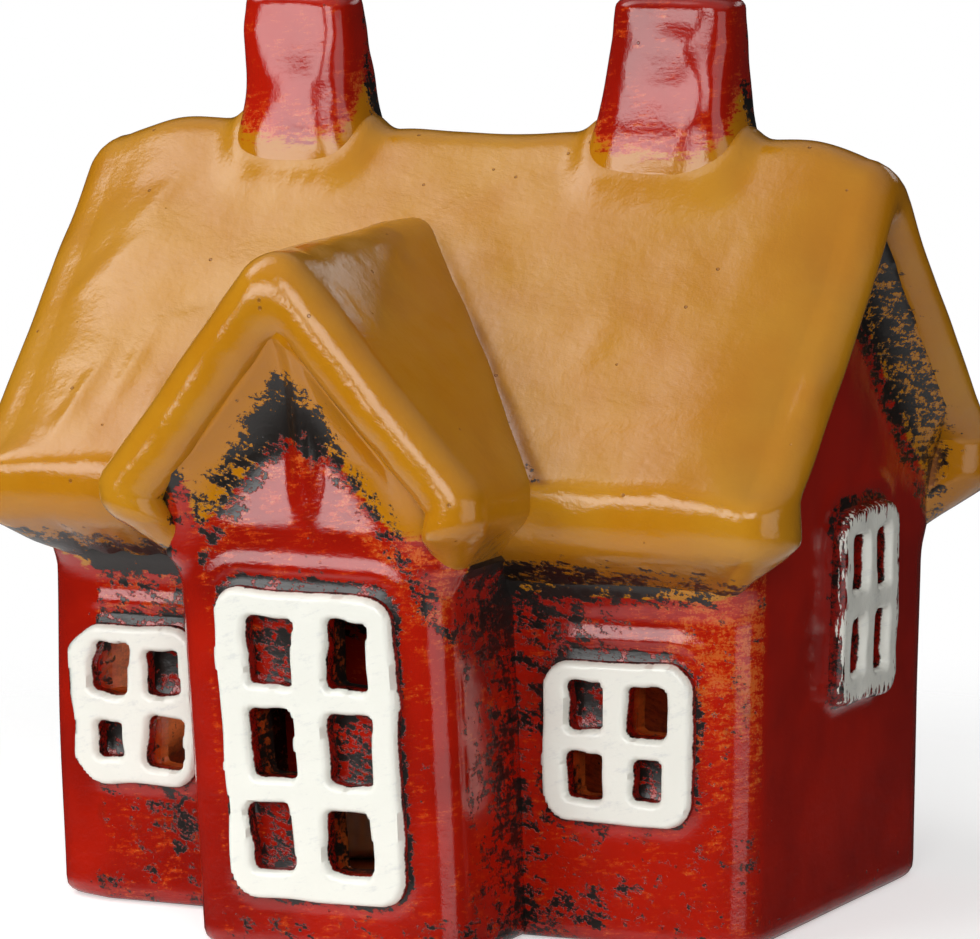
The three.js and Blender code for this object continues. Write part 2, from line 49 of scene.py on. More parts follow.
house = {
    "halfWidth": 52.0,
    "halfDepth": 32.0,
    "wall": 5.5,
    "corner": 5.6,
    "innerCorner": 0.8,
    "foot": 48.2,  # table to the foot of the soffit
    "ridge": 107.5,
    "slope": 35 / 32,
    "slab": 7.0,
    "batter": 0.02,  # the plan shrinks by this much from the soffit down to the table
    "leftOut": 3.2,  # the left wall bulges this far at its front
    "leftFrom": (48, 52),
    "leftFade": (-26, -8, 0.65),  # between these depths the bulge loses this share
    "backOut": 2.2,  # the right rear corner bulges this far, and twice as far at the table
    "backFrom": ((10, 52), (22, 32)),  # where that begins and is full, in x and in y
    "backFoot": 48,
    "bulgeTop": (54, 70),  # heights over which both bulges die out
    "wobble": 0.42,
    "wobbleSize": 24.0,
    "wobbleSeed": 11,
    "wobbleFoot": 12,  # heights shift less below this, so the foot stays level
}
porch = {
    "middle": -0.6,
    "halfWidth": 19.5,
    "leftOut": 1.6,
    "front": -55.0,
    "foot": 52.0,
    "plate": 74.0,
    "rise": 24.0,
    "ridgeAt": -1.9,
    "slab": 8.5,
    "lean": -0.053,  # sideways shift for each millimetre of height
}
porch["left"] = porch["middle"] - porch["halfWidth"] - porch["leftOut"]
porch["right"] = porch["middle"] + porch["halfWidth"]
porch["leftSlope"] = porch["rise"] / (porch["ridgeAt"] - porch["left"])
porch["rightSlope"] = porch["rise"] / (porch["right"] - porch["ridgeAt"])
farAway = 99.0  # distance to a shape that isn't on this wall


def smoothStep(low, high, x):
    t = np.clip((x - low) / (high - low), 0, 1)
    return t * t * (3 - 2 * t)


# smooth lattice noise: random values on whole points, mixed by 3t^2 - 2t^3 along each axis, -1 to 1
def lumps(points, size, seed):
    cells = 16
    table = np.random.default_rng(seed).uniform(-1, 1, (cells, cells, cells))
    cell = points / size
    low = np.floor(cell).astype(int)
    part = cell - low
    part = part * part * (3 - 2 * part)
    total = np.zeros(points.shape[:-1])
    for corner in np.ndindex(2, 2, 2):
        share = np.prod(np.where(corner, part, 1 - part), axis=-1)
        at = (low + corner) % cells
        total += share * table[at[..., 0], at[..., 1], at[..., 2]]
    return total


# lumps of two sizes, the small ones a share of the height of the large ones
def pressed(points, height, size, share, smallSize, seed):
    return height * (lumps(points, size, seed) + share * lumps(points, smallSize, seed + 1))


# hand-pressed clay: the plan narrows towards the table, two places bulge, slow noise pushes every point
def handmade(points):
    moved = points.copy()
    x, y, z = points[..., 0], points[..., 1], points[..., 2]
    narrow = 1 - house["batter"] * np.clip(1 - z / house["foot"], 0, 1)
    moved[..., :2] *= narrow[..., None]
    under = 1 - smoothStep(*house["bulgeTop"], z)
    near, far, loss = house["leftFade"]
    bulge = house["leftOut"] * (1 - loss * smoothStep(near, far, y))
    moved[..., 0] -= bulge * smoothStep(*house["leftFrom"], -x) * under
    fromX, fromY = house["backFrom"]
    corner = smoothStep(*fromX, x) * smoothStep(*fromY, y)
    moved[..., 1] += house["backOut"] * corner * under * (2 - np.clip(z / house["backFoot"], 0, 1))
    for axis in range(3):
        push = house["wobble"] * lumps(points, house["wobbleSize"], house["wobbleSeed"] + axis)
        moved[..., axis] += push * (smoothStep(0, house["wobbleFoot"], z) if axis == 2 else 1)
    return moved


# slope heights; offset moves a slope out along its own normal
def mainTop(y, offset=0.0):
    return house["ridge"] - house["slope"] * np.abs(y) + offset * math.hypot(1, house["slope"])


def porchTop(x, offset=0.0):
    top = porch["plate"] + porch["rise"]
    left, right = (
        top + (x - porch["ridgeAt"]) * slope + offset * math.hypot(1, slope)
        for slope in (porch["leftSlope"], -porch["rightSlope"])
    )
    return np.minimum(left, right)


def leanOver(points):
    moved = points.copy()
    moved[..., 0] += porch["lean"] * points[..., 2]
    return moved


# distance to a rounded rectangle turned by a small angle, negative inside
def boxDistance(u, v, middle, size, radius, angle=0.0):
    du, dv = u - middle[0], v - middle[1]
    ru = np.abs(du * math.cos(angle) + dv * math.sin(angle)) - size[0] / 2 + radius
    rv = np.abs(dv * math.cos(angle) - du * math.sin(angle)) - size[1] / 2 + radius
    return np.hypot(np.maximum(ru, 0), np.maximum(rv, 0)) + np.minimum(np.maximum(ru, rv), 0) - radius


# the same for an opening with an elliptical crown of the given rise
def archDistance(u, v, halfWidth, bottom, crown, rise):
    spring = crown - rise
    box = boxDistance(u, v, (0, (bottom + spring) / 2), (2 * halfWidth, spring - bottom), 0)
    return np.minimum(box, (np.hypot(u / halfWidth, (v - spring) / rise) - 1) * rise)


# points and faces into a piece that rides on a body and stands for CAD nodes
def addPiece(name, points, faces, material, body, nodes, masks, sharp):
    mesh = bpy.data.meshes.new(name)
    mesh.from_pydata((points / 1000 + houseMiddle).tolist(), [], faces)
    for key, values in masks.items():
        mask = mesh.attributes.new(key, "FLOAT", "POINT")
        mask.data.foreach_set("value", np.ravel(values).astype(np.float32))
    mesh.shade_smooth()
    mesh.set_sharp_from_angle(angle=math.radians(sharp))
    mesh.materials.append(material)
    piece = bpy.data.objects.new(name, mesh)
    bpy.context.scene.collection.objects.link(piece)
    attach(piece, body)
    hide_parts(*nodes)
    print(name, len(points), "points")


# quads of a grid of points, row by row, closed across its columns
def gridQuads(rows, columns):
    index = np.arange(rows * columns).reshape(rows, columns)
    index = np.concatenate([index, index[:, :1]], axis=1)
    return np.stack([index[:-1, :-1], index[:-1, 1:], index[1:, 1:], index[1:, :-1]], -1).reshape(-1, 4)


# the same for a grid whose last row also joins its first
def loopedQuads(rows, columns):
    ring = np.arange(columns)
    after, last = (ring + 1) % columns, (rows - 1) * columns
    close = np.stack([last + ring, last + after, after, ring], -1)
    return np.concatenate([gridQuads(rows, columns), close]).tolist()


# line through corners (a, b, radius), each bend a circular arc; counts gives the points between
# the middles of neighbouring bends, spread evenly along the line
def bentLine(corners, counts):
    arcPoints = 17
    line, knots = [], []
    for i, (a, b, radius) in enumerate(corners):
        here = np.array([a, b], float)
        if radius == 0:
            knots.append(len(line))
            line.append(here)
            continue
        back = np.array(corners[i - 1][:2]) - here
        ahead = np.array(corners[i + 1][:2]) - here
        back, ahead = back / np.linalg.norm(back), ahead / np.linalg.norm(ahead)
        half = math.acos(np.clip(back @ ahead, -1, 1)) / 2
        middle = here + (back + ahead) / np.linalg.norm(back + ahead) * radius / math.sin(half)
        start, end = here + back * radius / math.tan(half), here + ahead * radius / math.tan(half)
        first, last = (math.atan2(*(point - middle)[::-1]) for point in (start, end))
        turn = (last - first + math.pi) % (2 * math.pi) - math.pi
        angles = first + turn * np.linspace(0, 1, arcPoints)
        knots.append(len(line) + arcPoints // 2)
        line.extend(middle + radius * np.stack([np.cos(angles), np.sin(angles)], -1))
    line = np.array(line)
    reach = np.concatenate([[0], np.cumsum(np.linalg.norm(np.diff(line, axis=0), axis=1))])
    stops = [np.linspace(reach[a], reach[b], n, endpoint=False) for a, b, n in zip(knots, knots[1:], counts)]
    stops = np.concatenate(stops + [[reach[-1]]])
    return np.stack([np.interp(stops, reach, line[:, k]) for k in (0, 1)], -1)


# a node output that takes part in sums; each operator adds a Math node
class Value:
    def __init__(self, tree, socket):
        self.tree, self.socket = tree, socket

    # any node: its type, its settings, the values or links of its sockets and the output that counts
    def node(self, kind, settings=None, inputs=None, output=0):
        made = self.tree.nodes.new(kind)
        for key, value in (settings or {}).items():
            setattr(made, key, value)
        for key, value in (inputs or {}).items():
            if isinstance(value, Value):
                self.tree.links.new(value.socket, made.inputs[key])
            else:
                made.inputs[key].default_value = value
        return Value(self.tree, made.outputs[output])

    def sum(self, operation, *values):
        return self.node("ShaderNodeMath", {"operation": operation}, dict(enumerate(values)))

    def __add__(self, other):
        return self.sum("ADD", self, other)

    def __sub__(self, other):
        return self.sum("SUBTRACT", self, other)

    def __rsub__(self, other):
        return self.sum("SUBTRACT", other, self)

    def __mul__(self, other):
        return self.sum("MULTIPLY", self, other)

    def __gt__(self, other):
        return self.sum("GREATER_THAN", self, other)

    __radd__, __rmul__ = __add__, __mul__

    def between(self, low, high):
        ends = {"Value": self, "From Min": low, "From Max": high}
        return self.node("ShaderNodeMapRange", {"interpolation_type": "SMOOTHSTEP"}, ends)

    def most(self, other):
        return self.sum("MAXIMUM", self, other)

    # blend of two colours, this value being the share of the second
    def mix(self, *colours):
        ends = {6 + i: c if isinstance(c, Value) else (*c, 1) for i, c in enumerate(colours)}
        return self.node("ShaderNodeMix", {"data_type": "RGBA"}, {0: self, **ends}, 2)

    # size is the width of one blotch in millimetres, stretch makes it longer along an axis
    def noise(self, size, detail=3.0, rough=0.55, stretch=(1, 1, 1)):
        shrunk = self.node("ShaderNodeVectorMath", {"operation": "DIVIDE"}, {0: self, 1: stretch})
        sockets = {"Vector": shrunk, "Scale": 1000 / size, "Detail": detail, "Roughness": rough}
        return self.node("ShaderNodeTexNoise", None, sockets)

    # round dots, one at most in each cell of the given size; share of the cells that have one
    def pits(self, size, radius, share):
        sockets = {"Vector": self, "Scale": 1000 / size}
        away = self.node("ShaderNodeTexVoronoi", None, sockets, "Distance")
        cell = self.node("ShaderNodeTexVoronoi", None, sockets, "Color")
        return (cell.part(0) > 1 - share) * (1 - away.between(0.6 * radius / size, radius / size))

    def part(self, axis):
        return self.node("ShaderNodeSeparateXYZ", None, {0: self}, axis)

    def turned(self, angle):
        sockets = {"Vector": self, "Angle": angle}
        return self.node("ShaderNodeVectorRotate", {"rotation_type": "Y_AXIS"}, sockets)

    def mask(self, name):
        return self.node("ShaderNodeAttribute", {"attribute_name": name}, None, 2)

    def ray(self, kind):
        return self.node("ShaderNodeLightPath", None, None, "Is " + kind + " Ray")


# a new material, its object coordinates and its shader
def newMaterial(name):
    material = bpy.data.materials.new(name)
    material.use_nodes = True
    tree = material.node_tree
    where = tree.nodes.new("ShaderNodeTexCoord")
    return material, Value(tree, where.outputs["Object"]), tree.nodes["Principled BSDF"]


def feed(shader, name, value):
    if isinstance(value, Value):
        value.tree.links.new(value.socket, shader.inputs[name])
    else:
        shader.inputs[name].default_value = value


# bump whose height is given in millimetres
def bump(height, distance):
    sockets = {"Height": height, "Distance": distance / 1000, "Strength": 1.0}
    return height.node("ShaderNodeBump", None, sockets)


glazes = {
    "red": (0.44, 0.0105, 0.0024),
    "deepRed": (0.27, 0.0062, 0.0022),
    "warmRed": (0.60, 0.052, 0.005),
    "rubbed": (0.60, 0.13, 0.022),  # body showing through where the red is thin
    "ochre": (0.495, 0.188, 0.0040),
    "paleOchre": (0.545, 0.245, 0.012),
    "brown": (0.25, 0.078, 0.006),
    # black for stain and for painted shade; the dark wash below also serves both
    "stainAndShade": (0.010, 0.007, 0.0055),
    "darkWashAndShade": (0.115, 0.013, 0.004),
    "white": (0.91, 0.91, 0.83),
    "greyWhite": (0.60, 0.62, 0.62),
    "clay": (0.40, 0.13, 0.03),
    "grog": (0.1, 0.05, 0.02),
    "inner": (0.60, 0.130, 0.020),
    "innerBrown": (0.17, 0.035, 0.006),
    "gloss": 0.075,
}


# black stain and painted shade in ragged patches: streaks, blots, specks and clusters over a limit that falls
# with the mask
def stainAndShadePatches(at, brush, blot, fine, cluster, limit):
    marks = brush * 0.35 + blot * 0.45 + fine * 0.3 + cluster * 0.2
    return (marks - (limit - at.mask("stainAndShade") * 0.5)).between(0, 0.05)


# red glaze: slow tone, warm streaks and orange specks where it is worn, a dark wash and pits, black stain and
# painted shade where the mask holds them; the mask called ochre lets the roof's glaze run over it, the one
# called inside shows the smoked body
def redGlaze():
    material, at, shader = newMaterial("redGlaze")
    slow, middle, swell = at.noise(26, 3), at.noise(3.2, 4), at.noise(9, 2, 0.4)
    fine, grit, cluster = at.noise(0.55, 3, 0.7), at.noise(0.36, 2, 0.6), at.noise(7.5, 2)
    brush, blot = at.turned(-0.35).noise(0.8, 4, 0.65, (5, 5, 1)), at.noise(2.3, 5, 0.68)
    drag, pits = at.turned(0.12).noise(0.6, 4, 0.7, (4, 4, 1)), at.pits(3.4, 0.26, 0.25)
    worn, inside = at.mask("wear"), at.mask("inside")
    stainAndShade = stainAndShadePatches(at, brush, blot, fine, cluster, 0.93)
    warm = (drag * 0.5 + fine * 0.2 + middle * 0.3 - (0.63 - worn * 0.27)).between(0, 0.1)
    wear = (grit * 0.4 + drag * 0.35 + middle * 0.3 - (0.765 - worn * 0.36)).between(0, 0.07)
    dull = cluster * 0.5 + blot * 0.35 + middle * 0.25
    # the dark wash spreads where the mask holds stain and painted shade
    darkWashAndShade = (dull - (0.73 - at.mask("stainAndShade") * 0.38)).between(0, 0.22)
    run = (at.mask("ochre") + (drag - 0.5) * 1.5 + (middle - 0.5) * 0.6).between(0.4, 0.7)
    colour = (slow * 0.8 + swell * 0.3).between(0.35, 0.7).mix(glazes["deepRed"], glazes["red"])
    colour = (warm * 0.7).mix(colour, glazes["warmRed"])
    colour = (wear * 0.8).mix(colour, glazes["rubbed"])
    colour = (darkWashAndShade * 0.65 + pits * 0.7).mix(colour, glazes["darkWashAndShade"])
    colour = run.mix(colour, glazes["ochre"])
    inner = (brush * 0.7 + fine * 0.3).between(0.3, 0.6).mix(glazes["innerBrown"], glazes["inner"])
    feed(shader, "Base Color", stainAndShade.mix(inside.mix(colour, inner), glazes["stainAndShade"]))
    feed(shader, "Roughness", glazes["gloss"] + stainAndShade * 0.2 + inside * 0.35)
    tooth = middle * 0.14 + fine * 0.04 + drag * 0.04 - stainAndShade * 0.05 - pits * 0.2
    feed(shader, "Normal", bump(swell * 0.2 + tooth, 0.5))
    return material


# ochre glaze: slow tone, brown in pools and pits, stain and painted shade where the mask says, bare clay
# inside; under the porch's verge the brown is painted shade too
def ochreGlaze():
    material, at, shader = newMaterial("ochreGlaze")
    slow, middle, swell = at.noise(30, 3), at.noise(5, 4), at.noise(10, 2, 0.4)
    fine, small, cluster = at.noise(0.6, 3, 0.7), at.noise(1.3, 4, 0.65), at.noise(6.5, 2)
    brush, blot = at.turned(-0.2).noise(0.8, 4, 0.65, (5, 5, 1)), at.noise(2.3, 5, 0.68)
    pits, inside = at.pits(3.4, 0.30, 0.28), at.mask("inside")
    stainAndShade = stainAndShadePatches(at, brush, blot, fine, cluster, 0.94)
    pool = (at.mask("wear") * 1.1 + (middle - 0.5) * 0.7 + (slow - 0.5) * 0.4 - 0.25).between(0, 0.8)
    colour = (slow * 0.9 + middle * 0.2).between(0.35, 0.75).mix(glazes["ochre"], glazes["paleOchre"])
    colour = (pool * 0.8 + pits * 0.7).mix(colour, glazes["brown"])
    colour = stainAndShade.mix(colour, glazes["stainAndShade"])
    feed(shader, "Base Color", inside.mix(colour, glazes["clay"]))
    feed(shader, "Roughness", glazes["gloss"] + 0.02 + middle * 0.05 + stainAndShade * 0.16 + inside * 0.35)
    tooth = middle * 0.26 + small * 0.12 + fine * 0.03 + brush * 0.06 - stainAndShade * 0.05 - pits * 0.25
    feed(shader, "Normal", bump(swell * 0.42 + tooth, 0.5))
    return material


# white glaze on the faces only: the sides of a pad are red-brown with stain in the creases; where the
# mask called ragged is 1, upright brush marks break up the rim
def whiteGlaze():
    material, at, shader = newMaterial("whiteGlaze")
    middle, fine = at.noise(2.6, 4), at.noise(0.5, 3, 0.7)
    rise = at.mask("rise") + (middle - 0.5) * 0.9 + (fine - 0.5) * 0.5
    brushed = at.noise(0.7, 4, 0.65, (1, 1, 5)) * 8 - 4.6 + at.mask("rim")
    painted = rise.between(1.25, 1.5) * (1 - at.mask("ragged") * (1 - brushed.between(0, 0.3)))
    side = (fine * 0.6 + middle * 0.5).between(0.45, 0.62).mix(glazes["stainAndShade"], glazes["deepRed"])
    smudge = at.turned(0.3).noise(1.0, 4, 0.7, (4, 4, 1)) * 0.6 + middle * 0.3 + fine * 0.2
    colour = (smudge.between(0.57, 0.74) * 0.4).mix(glazes["white"], glazes["greyWhite"])
    colour = (fine * 0.85 + middle * 0.2).between(0.77, 0.81).mix(colour, glazes["stainAndShade"])
    feed(shader, "Base Color", painted.mix(side, colour))
    feed(shader, "Roughness", 0.16 + middle * 0.12)
    feed(shader, "Normal", bump(middle * 0.4 + fine * 0.05, 0.3))
    return material


# bare terracotta: grog specks and a fine tooth
def bareClay():
    material, at, shader = newMaterial("bareClay")
    slow, fine = at.noise(14, 4), at.noise(0.5, 3, 0.7)
    colour = (slow * 0.6 + fine * 0.5).between(0.35, 0.75).mix(glazes["brown"], glazes["clay"])
    feed(shader, "Base Color", fine.between(0.68, 0.74).mix(colour, glazes["grog"]))
    feed(shader, "Roughness", 0.7 + slow * 0.2)
    feed(shader, "Normal", bump(fine * 0.5 + slow * 0.3, 0.2))
    return material


redGlazeFinish, ochreGlazeFinish = redGlaze(), ochreGlaze()
whiteGlazeFinish, clayFinish = whiteGlaze(), bareClay()
print("glazes ready")

chimneys = {
    "chimney_left": {
        "at": -28.0, "lean": -1.3, "rise": 17.4, "foot": (17.2, 14.6), "top": (15.8, 10.4), "seed": 51,
        "node": "left_chimney",
    },
    "chimney_right": {
        "at": 26.5, "lean": 0.8, "rise": 18.4, "foot": (20.2, 14.8), "top": (17.4, 10.6), "seed": 57,
        "node": "right_chimney",
    },
}

# what both roofs share at their eaves
soffit = {
    "tuck": (2.2, 4),  # start of the section inside the wall's face and below the foot
    "bend": (0.2, 2.5),  # bend at the foot: how far out and below, and its radius
    "seat": (0.5, 3, 1),  # inner face from the wall's face, and its shelf and step further in
    "noseShare": (0.55, 0.2),  # a nose is at most this share of the slab, and a little more
}

mainRoof = {
    "lip": 43.1,
    "lipHeight": 63.6,
    "lipFace": 7.2,
    "rearLip": (61.6, 55.8),  # upper and lower corner of the rear lip
    "rearRadius": 0.9,  # share of the lip's radius at its lower corner
    "lipRadius": 6.4,
    "ridgeRise": 1.9,  # corner of the section over the sharp ridge
    "ridgeRadius": 6.0,
    "apexRadius": 3,
    "shelves": (4, 9),  # heights of the inner face's shelf and step over the foot
    "ends": (61.6, 60.0),
    "inset": 3.0,  # below the lip the ends stop this far inside the gable walls
    "roll": (3.2, 12.0, 2.2),  # how far, over what width and with what power a verge rolls over
    "nose": 5.2,
    "lumps": (0.55, 15.0, 0.45, 6, 31),  # height, size, share and size of the small ones, seed
    "lumpsUp": (56, 66),  # heights over which lumps turn from pushing out to pushing up
    "droop": (0.6, 0.9),  # how far the ridge falls at its left and right end
    "valley": 2.4,
    "valleyEnd": (88, 96),  # heights over which the valley's filling runs out
    "collar": (1.9, 3.6, 1.2),  # height, reach and start of the clay drawn up round a chimney
    # dents and ridges pressed into the front slope: x, y, half length, half width, turn, height
    "dents": (
        (-47, -36, 5, 1.0, 1.2, 0.5), (-41, -33, 6, 1.2, 1.3, 0.45), (-36, -37, 4, 1.0, 1.5, 0.4),
        (-50, -20, 7, 2.0, 0.5, 0.5), (-38, -24, 9, 2.2, 0.4, -0.5), (-46, -12, 5, 1.6, 0.9, 0.35),
        (-30, -20, 8, 2.4, 0.2, 0.4), (58.0, -27.5, 3.2, 1.2, 1.4, 1.0), (40, -34, 9, 2.0, 0.1, 0.4),
        (30, -14, 6, 3.0, 0.3, -0.35), (44, -16, 5, 2.4, 0.8, 0.35), (26, -27, 4, 2.0, 1.0, 0.3),
    ),
    "counts": (5, 14, 8, 62, 62, 8, 14, 5),
    "along": 150,
}


# clay that fills the valley of two crossing slopes: n^2 k / 4, n falling from 1 on the line where they
# meet to 0 at k above it and k / 4 below it; it runs out towards the ridge
def valleyFill(own, other, where):
    size = mainRoof["valley"]
    near = np.clip(1 - np.abs(own - other) / size, 0, 1)
    fill = near * near * size / 4
    fill = np.where(own >= other, fill, fill * np.clip(1 - (other - own) / (0.25 * size), 0, 1))
    return np.where(where, fill * (1 - smoothStep(*mainRoof["valleyEnd"], own)), 0)


# angles round a nose, from its top to its underside, and the shares of underside and of top at each
noseAngle = np.radians(np.linspace(90, -90, 13))[1:-1]
noseTurn = np.sin(noseAngle)
noseUnder, noseOver = smoothStep(-0.1, 0.8, -noseTurn), smoothStep(-1.05, 1.05, noseTurn)


# outer and inner line of a roof's section, from one soffit up over the ridge and down to the other one;
# a lip is (place, top, bottom, radius at the bottom), ridge and apex are (place, height, radius)
def roofSection(roof, wallFaces, foot, lips, ridge, apex, underside):
    (tuckIn, tuckDown), (bendOut, bendRadius) = soffit["tuck"], soffit["bend"]
    back, shelf, step = soffit["seat"]
    low, high = roof["shelves"]
    outer, inner = [], []
    for out, wall, (lip, lipTop, lipLow, lowRadius) in zip((-1, 1), wallFaces, lips):
        seat = wall - out * back
        outer.append([
            (wall - out * tuckIn, foot - tuckDown, 0), (wall + out * bendOut, foot - bendOut, bendRadius),
            (lip, lipLow, lowRadius), (lip, lipTop, roof["lipRadius"]),
        ])
        inner.append([
            (seat - out * shelf, foot - tuckDown, 0), (seat - out * shelf, foot + low, 0),
            (seat - out * step, foot + high, 0), (seat, underside(seat), 0),
        ])
    outerLine = bentLine(outer[0] + [ridge] + outer[1][::-1], roof["counts"])
    innerLine = bentLine(inner[0] + [apex] + inner[1][::-1], roof["counts"])
    return outerLine, innerLine


# stadium loops along the section: out over the top, round a half-circle nose, back underneath; the far
# end has a nose only where it is rounded
def roofLoops(roof, outer, inner, start, end, rounded):
    middle, half = (outer + inner)[:, None] / 2, (outer - inner)[:, None] / 2
    share, more = soffit["noseShare"]
    nose = np.minimum(roof["nose"], np.linalg.norm(outer - inner, axis=1) * share + more)[:, None]
    first, last = start[:, None] + nose, end[:, None] - nose * rounded
    run = first + (last - first) * np.linspace(0, 1, roof["along"])
    sections = [np.repeat(line[:, None], roof["along"], 1) for line in (outer, inner)]
    places = [run, run[:, ::-1]]
    if rounded:
        sections.insert(1, middle + half * noseTurn[:, None])
        places.insert(1, last + nose * np.cos(noseAngle))
    sections.append(middle - half * noseTurn[:, None])
    places.append(first - nose * np.cos(noseAngle))
    return np.concatenate(sections, 1), np.concatenate(places, 1)


# closed skin over the loops, with a flat face on the first and the last loop
def loopFaces(rows, columns, flip):
    quads = gridQuads(rows, columns)
    firstLoop = list(range(columns))
    lastLoop = list(range((rows - 1) * columns, rows * columns))
    if flip:
        return quads[:, ::-1].tolist() + [firstLoop] + [lastLoop[::-1]]
    return quads.tolist() + [firstLoop[::-1]] + [lastLoop]


def mainUnderside(y):
    return mainTop(y, -house["slab"])


def porchUnderside(x):
    return porchTop(x, -porch["slab"])


def mainRoofSection():
    lip, radius, high = mainRoof["lip"], mainRoof["lipRadius"], mainRoof["lipHeight"]
    lips = (
        (-lip, high, high - mainRoof["lipFace"], radius),
        (lip, *mainRoof["rearLip"], mainRoof["rearRadius"] * radius),
    )
    ridge = (0, house["ridge"] + mainRoof["ridgeRise"], mainRoof["ridgeRadius"])
    apex = (0, mainUnderside(0), mainRoof["apexRadius"])
    wallFaces = (-house["halfDepth"], house["halfDepth"])
    return roofSection(mainRoof, wallFaces, house["foot"], lips, ridge, apex, mainUnderside)


mainOuter, mainInner = mainRoofSection()


# main roof: the section carried along x, ends drawn in towards the wall below the lip; each dent is a
# Gaussian, the verges roll over by fall t^2.2, the ridge droops towards its ends
def buildMainRoof():
    low = np.where(mainOuter[:, 0] < 0, mainRoof["lipHeight"] - mainRoof["lipFace"], mainRoof["rearLip"][1])
    out = smoothStep(house["foot"] - 3, low + 1.5, mainOuter[:, 1])
    inset = house["halfWidth"] - mainRoof["inset"]
    left, right = (inset + (end - inset) * out for end in mainRoof["ends"])
    section, x = roofLoops(mainRoof, mainOuter, mainInner, -left, right, True)
    y, z = section[..., 0], section[..., 1]
    run = mainRoof["along"]
    top = np.arange(x.shape[1]) < run
    upper = np.concatenate([np.ones(run), noseOver, np.zeros(run), noseOver[::-1]])
    lower = np.concatenate([np.zeros(run), noseUnder, np.ones(run), noseUnder[::-1]])
    other = porchTop(x - porch["lean"] * z)
    onSlope = top & (z > mainRoof["lipHeight"]) & (y < 0)
    raised = valleyFill(z, other, onSlope)
    high, wide, start = mainRoof["collar"]
    for chimney in chimneys.values():
        gap = boxDistance(x, y, (chimney["at"], 0), chimney["foot"], 3.0) - start
        raised += high * np.clip(1 - gap / wide, 0, 1) ** 2 * top
    for dentX, dentY, long, wide, turn, high in mainRoof["dents"]:
        along = (x - dentX) * math.cos(turn) + (y - dentY) * math.sin(turn)
        across = (y - dentY) * math.cos(turn) - (x - dentX) * math.sin(turn)
        raised += high * np.exp(-(along / long) ** 2 - (across / wide) ** 2) * upper
    end, droop = (np.where(x > 0, pair[1], pair[0]) for pair in (mainRoof["ends"], mainRoof["droop"]))
    reach = np.abs(x) / end
    raised -= droop * smoothStep(0.72, 1.0, reach) ** 1.5 * smoothStep(62, 106, z)
    fall, width, power = mainRoof["roll"]
    rolled = fall * np.clip((np.abs(x) - end + mainRoof["nose"]) / width + 1, 0, 1) ** power
    raised -= rolled * smoothStep(58, 70, z) * (1 - 0.5 * smoothStep(94, 106, z)) * upper
    points = np.stack([x, y, z], -1)
    bulge = pressed(points, *mainRoof["lumps"])
    upward = smoothStep(*mainRoof["lumpsUp"], z)
    points[..., 2] += raised + bulge * upward
    points[..., 1] += 0.6 * bulge * (1 - upward)
    # stain in the cove over the wall, along the lower valley and under the verges
    cove = 1 - smoothStep(house["foot"] + 2.5, low[:, None] + 1.5, z)
    besidePorch = np.where(x < 0, 0.8, 0.88 - 0.2 * smoothStep(18, 44, x))
    verge = lower * smoothStep(0.80, 0.86, reach) * (0.60 - 0.20 * smoothStep(0.88, 0.97, reach))
    crease = np.exp(-((z - other) / 3.0) ** 2) * onSlope * (1 - smoothStep(80, 94, z))
    valley = crease ** 2 * (1 - smoothStep(62, 86, z))
    masks = {
        "stainAndShade": np.maximum.reduce([0.9 * cove * besidePorch, verge, 0.62 * valley]),
        "wear": np.maximum(0.8 * (1 - smoothStep(50, 61, z)) * top, 0.85 * crease),
        "inside": (upper == 0) * (1 - smoothStep(0.86, 0.9, reach)),
    }
    addPiece("roof_main", handmade(points).reshape(-1, 3), loopFaces(*z.shape, True), ochreGlazeFinish,
             "house", ("main_roof_front", "main_roof_rear"), masks, 50)


porchRoof = {
    "lipReach": 8.2,
    "lipFace": 4.6,
    "lipRadius": 4.4,
    "ridgeRise": 0.6,
    "ridgeRadius": 5.5,
    "apexRadius": 2.5,
    "shelves": (3, 6),
    "verge": (6.0, 3.0),  # beyond the porch front above the soffit's foot, and behind it below
    "overlap": 2.5,  # how far the slopes run into the main one
    "nose": 4.3,
    "lumps": (0.4, 11.0, 0.5, 5, 41),
    "lumpsUp": (58, 68),
    "counts": (5, 12, 8, 40, 40, 8, 12, 5),
    "along": 80,
}


